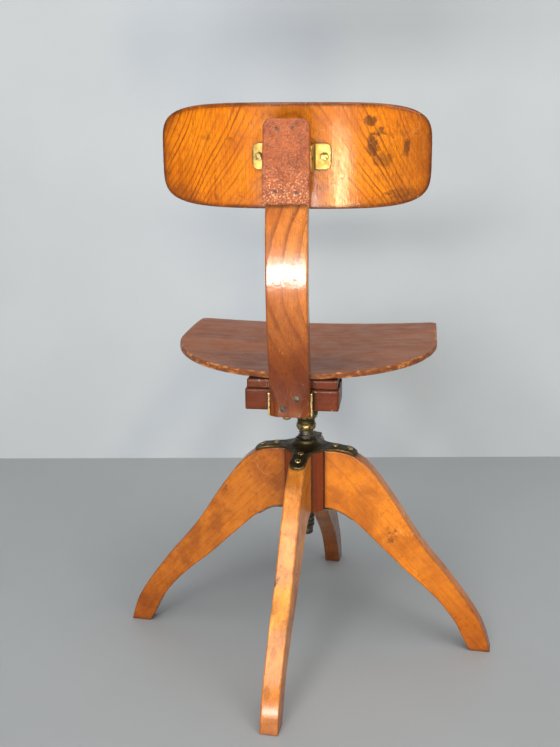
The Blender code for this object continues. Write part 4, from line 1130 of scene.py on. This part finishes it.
def make_cap():
    """The thick pad nailed over the support's top end."""
    bottom, top, corner = 734 * MM, 841 * MM, 11 * MM
    inner, outer = SPINE_THICK + 0.3 * MM, SPINE_THICK + 13.3 * MM
    heights = [bottom + 0.2 * MM, bottom + 0.8 * MM, bottom + 2 * MM]
    heights += [bottom + (top - corner - bottom) * k / 56 for k in range(2, 57)]
    heights += [top - corner + corner * math.sin(math.pi / 2 * k / 10) for k in range(1, 10)]
    heights += [top - 0.15 * MM]
    rings = []
    for height in heights:
        past = max(0, height - (top - corner))
        low = max(0, bottom + 2.2 * MM - height)
        half = 30.5 * MM - (corner - math.sqrt(corner ** 2 - past ** 2)) - low
        half += 0.35 * MM * math.sin((height - bottom) / (top - bottom) * TURN * 0.8)
        near_top = max(0, height - (top - 3 * MM))
        face = outer - (3 * MM - math.sqrt(max((3 * MM) ** 2 - near_top ** 2, 0))) * 0.8 - low
        corners = [0.6 * MM, 0.6 * MM, 3.4 * MM, 3.4 * MM]
        outline = rounded(rectangle(half, inner, face), corners, 4, 1.2 * MM, 7)
        front = spine_point(height, 0)
        normal = spine_point(height, 1) - front
        rings.append(placed_across(outline, front, normal))
    mesh = loft("cap", rings, angle=50)
    roughen(mesh, (16 * MM, 0.3 * MM), (3.2 * MM, 0.22 * MM))
    add_piece("nailed_cap", mesh, "seat", cap_material(), ["cap_pad"])
    places = []
    for x, z in ((12, 828), (-8, 829), (13, 750), (-14, 749)):
        here, above = spine_point(z * MM, 33.3 * MM), spine_point((z + 1) * MM, 33.3 * MM)
        tilt = math.atan2(here.x - above.x, above.y - here.y)
        places.append((Vector((x * MM, here.x + 0.2 * MM, here.y)), (tilt - math.pi / 2, 0, 0)))
    add_screws("nail_head", "cap_nail", places, (2.2, 0.7, 1.1, 24), "seat", IRON,
               slotted=False)


def make_spine_hardware():
    places = []
    for x, z in ((-10, 471), (9, 456)):
        rear = spine_point((z + 4) * MM, SPINE_THICK).x
        places.append((Vector((x * MM, rear + 0.3 * MM, z * MM)), (-math.pi / 2, 0, 0)))
    add_screws("spine_screw_head", "spine_screw", places, (4.2, 1.2, 2, 50), "seat",
               IRON)
    foot = Vector((5 * MM, SPINE_LINE[0].x + SPINE_THICK / 2, SPINE_LINE[0].y - 0.3 * MM))
    add_screws("end_dome", "spine_end_screw", [(foot, (math.pi, 0, 0))], (6.6, 6, 2, 20),
               "seat", BRONZE, slotted=False)
    inner, front = SPINE_HALF + 0.3 * MM, 186.3 * MM
    outer, web, rear = inner + 2.6 * MM, 189.5 * MM, 202.8 * MM
    corners = [(-outer, front), (outer, front), (outer, rear), (inner, rear), (inner, web),
               (-inner, web), (-inner, rear), (-outer, rear)]
    soft = [radius * MM for radius in (2.2, 2.2, 0.6, 0.6, 0.5, 0.5, 0.6, 0.6)]
    rings = prism_rings(rounded(corners, soft, 3, 0.6 * MM, 1), 443.5 * MM, 476.5 * MM,
                        0.5 * MM, upright, 8)
    add_piece("folded_bracket", loft("folded_bracket", rings), "seat", BRONZE,
              ["spine_bracket"])


# ---------------------------------------------------------------- backrest

PIVOT = Vector((0, 204 * MM, 794.5 * MM))
BOLT_X = 43.5 * MM


EAR_HALF, EAR_HALF_HEIGHT = 1.3 * MM, 17 * MM          # half the plate, half its height
EAR_Z = PIVOT.z - MM
CHEEK_X = SPINE_HALF + 0.6 * MM + EAR_HALF


def ear_mesh(name, side, bolt, along, normal):
    """A cheek beside the support, bent into a flange along the panel."""
    base = bolt + normal * 1.6 * MM
    start = Vector((side * CHEEK_X, PIVOT.y + 6.5 * MM))
    corner = base + along * ((start.x - base.x) / along.x)
    end = base + along * 9 * MM
    path = rounded([tuple(start), tuple(corner), tuple(end)], 3 * MM, 6)
    bend = [p for p in path if (p - corner).length < 3.2 * MM]
    line = evenly([start, *bend, end], 44)
    last = len(line) - 1
    total = (start - corner).length + (corner - end).length
    rings = []
    for k, p in enumerate(line):
        distance = total * k / last
        tangent = (line[min(k + 1, last)] - line[max(k - 1, 0)]).normalized()
        across = Vector((-tangent.y, tangent.x))
        near_end = min(distance, total - distance)
        radius = 8.5 * MM if total - distance < distance else 6 * MM
        past = max(0, radius - near_end)
        half = EAR_HALF_HEIGHT - (radius - math.sqrt(max(radius ** 2 - past ** 2, 0)))
        thick = EAR_HALF - max(0, 0.7 * MM - near_end) * 0.8
        outline = rounded(rectangle(thick, -half, half), 0.8 * MM, 2, 0.4 * MM, 3)
        rings.append([Vector((p.x + across.x * q.x, p.y + across.y * q.x, EAR_Z + q.y))
                      for q in outline])
    mesh = loft(name, rings)
    roughen(mesh, (7 * MM, 0.12 * MM))
    return mesh


def make_ears():
    """Bent brass ears, each with a bolt through the panel and a nut."""
    for side, name in ((1, "left"), (-1, "right")):
        turn = math.asin(BOLT_X / PANEL_RADIUS) * side
        bolt = Vector((side * BOLT_X, PANEL_REAR - panel_depth(BOLT_X)))
        along = Vector((math.cos(turn), -math.sin(turn))) * side
        normal = Vector((-along.y, along.x)) * side
        ear = f"bent_ear_{name}"
        add_piece(ear, ear_mesh(ear, side, bolt, along, normal), "backrest", BRASS,
                  [f"ear_{name}"])
        axis = Matrix.Rotation(-turn, 3, "Z") @ Vector((0, 1, 0))
        place = Vector((bolt.x, bolt.y, EAR_Z))
        spin = Euler((math.pi / 2, 0, -turn)).to_matrix().to_4x4()
        head = place - axis * (PLY + 0.8 * MM)
        bolt_mesh = screw_mesh(f"coach_bolt_{name}", 7 * MM, 2.6 * MM, 2.5 * MM,
                               PLY + 9.8 * MM, slot=False, steps=32)
        add_piece(f"coach_bolt_{name}", bolt_mesh, "backrest", BRASS,
                  [f"ear_bolt_{name}"], Matrix.Translation(head) @ spin)
        hexagon = [polar(5.4 * MM, TURN * i / 6).xy for i in range(6)]
        rings = prism_rings(rounded(hexagon, 0.5 * MM, 2, 0.5 * MM), 0, 4 * MM, 0.5 * MM,
                            upright, 3)
        seated = place + axis * (3.2 * MM)
        facing = Euler((-math.pi / 2, 0, -turn)).to_matrix().to_4x4()
        add_piece(f"hex_nut_{name}", loft(f"hex_nut_{name}", rings), "backrest",
                  BRONZE, [f"ear_nut_{name}"],
                  Matrix.Translation(seated) @ facing @ Matrix.Rotation(0.3 * side, 4, "Z"))


def make_pin():
    half = 32.4 * MM
    end = [(0, half), (1.6 * MM, half - 0.1 * MM), (2.6 * MM, half - 0.6 * MM),
           (3 * MM, half - 1.4 * MM)]
    profile = end + [(radius, -height) for radius, height in reversed(end)]
    matrix = Matrix.Translation(PIVOT) @ Matrix.Rotation(math.pi / 2, 4, "Y")
    add_piece("pivot_pin", turned("pivot_pin", profile, 32), "backrest", IRON,
              ["tilt_pin"], matrix)


def make_panel():
    mesh = sheet_mesh("curved_panel", panel_outline(), panel_surface, PLY, 2.6 * MM, 18)
    add_piece("curved_panel", mesh, "backrest", PANEL_WOOD, ["backrest_panel"])


# ---------------------------------------------------------------- stage

def plain_material(name, colour, roughness, one_sided=False):
    g = Graph(name)
    place = g.node("TexCoord").outputs["Object"]
    cloud = g.spread(g.noise(place, 2.2, 4.0, 0.6), 0.3, 0.7)
    darker = tuple(c * 0.95 for c in colour)
    set_shader(g, g.mix(cloud, colour, darker), roughness)
    g.bump((g.noise(place, 60, 3.0), 1 * MM, 0.08))
    if one_sided:
        back = g.node("NewGeometry").outputs["Backfacing"]
        clear = g.node("BsdfTransparent").outputs[0]
        both = g.node("MixShader", {0: back, 1: g.shader.outputs[0], 2: clear}).outputs[0]
        output = g.tree.nodes["Material Output"]
        g.tree.links.new(both, output.inputs["Surface"])
    return g.material


def add_plane(name, size, matrix, material):
    bm = bmesh.new()
    bmesh.ops.create_grid(bm, x_segments=2, y_segments=2, size=size / 2)
    mesh = bpy.data.meshes.new(name)
    bm.to_mesh(mesh)
    bm.free()
    mesh.materials.append(material)
    obj = new_object(name, mesh)
    obj.matrix_world = matrix
    return obj


def add_light(name, place, target, size, power, colour=(1, 1, 1)):
    data = bpy.data.lights.new(name, "AREA")
    data.shape = "RECTANGLE"
    data.size, data.size_y = size
    data.energy = power
    data.color = colour
    obj = new_object(name, data)
    obj.location = place
    direction = Vector(target) - Vector(place)
    obj.rotation_euler = direction.to_track_quat("-Z", "Y").to_euler()
    obj.visible_camera = False
    return obj


WALL_Y = -0.827
WALL_TURN = 6.5


def make_stage():
    floor = add_plane("floor", 12, Matrix(),
                      plain_material("floor_grey", (0.37, 0.382, 0.387), 0.6, True))
    wall = (Matrix.Translation((0, WALL_Y, 0)) @ Matrix.Rotation(math.radians(WALL_TURN), 4, "Z")
            @ Matrix.Rotation(-math.pi / 2, 4, "X"))
    add_plane("wall", 12, wall, plain_material("wall_grey", (0.485, 0.52, 0.56), 0.8, True))
    dark_card = add_plane("dark_card", 5, Matrix.Translation((0, 4.1, 0.02)),
                          plain_material("card_black", (0.02, 0.018, 0.016), 0.9))
    dark_card.visible_camera = dark_card.visible_diffuse = dark_card.visible_shadow = False
    not_floor = bpy.data.collections.new("not_floor")
    not_floor.objects.link(floor)
    not_floor.collection_objects[0].light_linking.link_state = "EXCLUDE"
    make_world()
    add_light("ceiling", (-0.3, 0.9, 2.9), (0, 0, 0.3), (2.2, 1.8), 38, (1, 0.99, 0.97))
    add_light("window", (0.75, 2.7, 2.15), (0.05, 0.2, 0.25), (0.8, 1.1), 27, (1, 0.98, 0.95))
    add_light("right_key", (-1.9, 1.9, 1.5), (0, 0, 0.35), (1.0, 1.0), 14, (1, 0.97, 0.93))
    for name, place, target, size, power, colour in (
            ("tall_gap", (-0.78, 3.0, 0.33), (0, 0, 0.75), (0.28, 0.5), 25, (1, 0.84, 0.5)),
            ("low_glow", (0.25, 2.35, 0.31), (0, 0.1, 0.62), (0.9, 0.28), 38, (1, 0.98, 0.95))):
        light = add_light(name, place, target, size, power, colour)
        light.light_linking.receiver_collection = not_floor
    add_light("front_fill", (-0.8, -2.4, 2.2), (0, 0, 0.5), (2.0, 2.0), 12, (0.95, 0.97, 1))


def make_world():
    """A pale backdrop for the camera, and a room that is bright above and dim at eye level."""
    world = bpy.data.worlds.new("studio")
    bpy.context.scene.world = world
    world.use_nodes = True
    nodes, links = world.node_tree.nodes, world.node_tree.links
    background = nodes["Background"]
    place = nodes.new("ShaderNodeTexCoord")
    split = nodes.new("ShaderNodeSeparateXYZ")
    height = nodes.new("ShaderNodeMapRange")
    for key, value in (("From Min", 0.05), ("From Max", 0.8), ("To Min", 0.08), ("To Max", 0.6)):
        height.inputs[key].default_value = value
    ray = nodes.new("ShaderNodeLightPath")
    choose = nodes.new("ShaderNodeMix")
    choose.inputs["B"].default_value = 0.5
    links.new(place.outputs["Generated"], split.inputs[0])
    links.new(split.outputs["Z"], height.inputs["Value"])
    links.new(ray.outputs["Is Camera Ray"], choose.inputs["Factor"])
    links.new(height.outputs[0], choose.inputs["A"])
    links.new(choose.outputs["Result"], background.inputs["Strength"])
    background.inputs["Color"].default_value = (0.93, 0.97, 1.0, 1)


def make_camera():
    """The chair from behind, a little to its right and from above seat height."""
    azimuth, distance, height = math.radians(6.21), 1.6485, 0.9246
    pitch, pan, roll = math.radians(16.17), math.radians(1.402), math.radians(0.586)
    place = Vector((-math.sin(azimuth) * distance, math.cos(azimuth) * distance, height))
    heading = Vector((-place.x, -place.y, 0)).normalized()
    heading = Matrix.Rotation(pan, 3, "Z") @ heading
    forward = heading * math.cos(pitch) - Vector((0, 0, math.sin(pitch)))
    right = forward.cross(Vector((0, 0, 1))).normalized()
    up = right.cross(forward)
    turned_right = right * math.cos(roll) - up * math.sin(roll)
    turned_up = up * math.cos(roll) + right * math.sin(roll)
    data = bpy.data.cameras.new("camera")
    data.sensor_width = 36
    data.lens = 53.24
    camera = new_object("camera", data)
    camera.matrix_world = Matrix((
        (turned_right.x, turned_up.x, -forward.x, place.x),
        (turned_right.y, turned_up.y, -forward.y, place.y),
        (turned_right.z, turned_up.z, -forward.z, place.z), (0, 0, 0, 1)))
    bpy.context.scene.camera = camera


def main():
    bpy.context.scene.view_settings.view_transform = "Standard"
    make_legs()
    make_hub()
    make_top_spider()
    make_base_screws()
    make_spindle()
    make_holder()
    make_seat_panel()
    make_woodwork()
    make_spine()
    make_cap()
    make_spine_hardware()
    make_panel()
    make_ears()
    make_pin()
    for node, material in (("spindle_nut", BRASS), ("bottom_spider", IRON)):
        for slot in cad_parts[node].material_slots:
            slot.material = material
    make_stage()
    make_camera()


main()
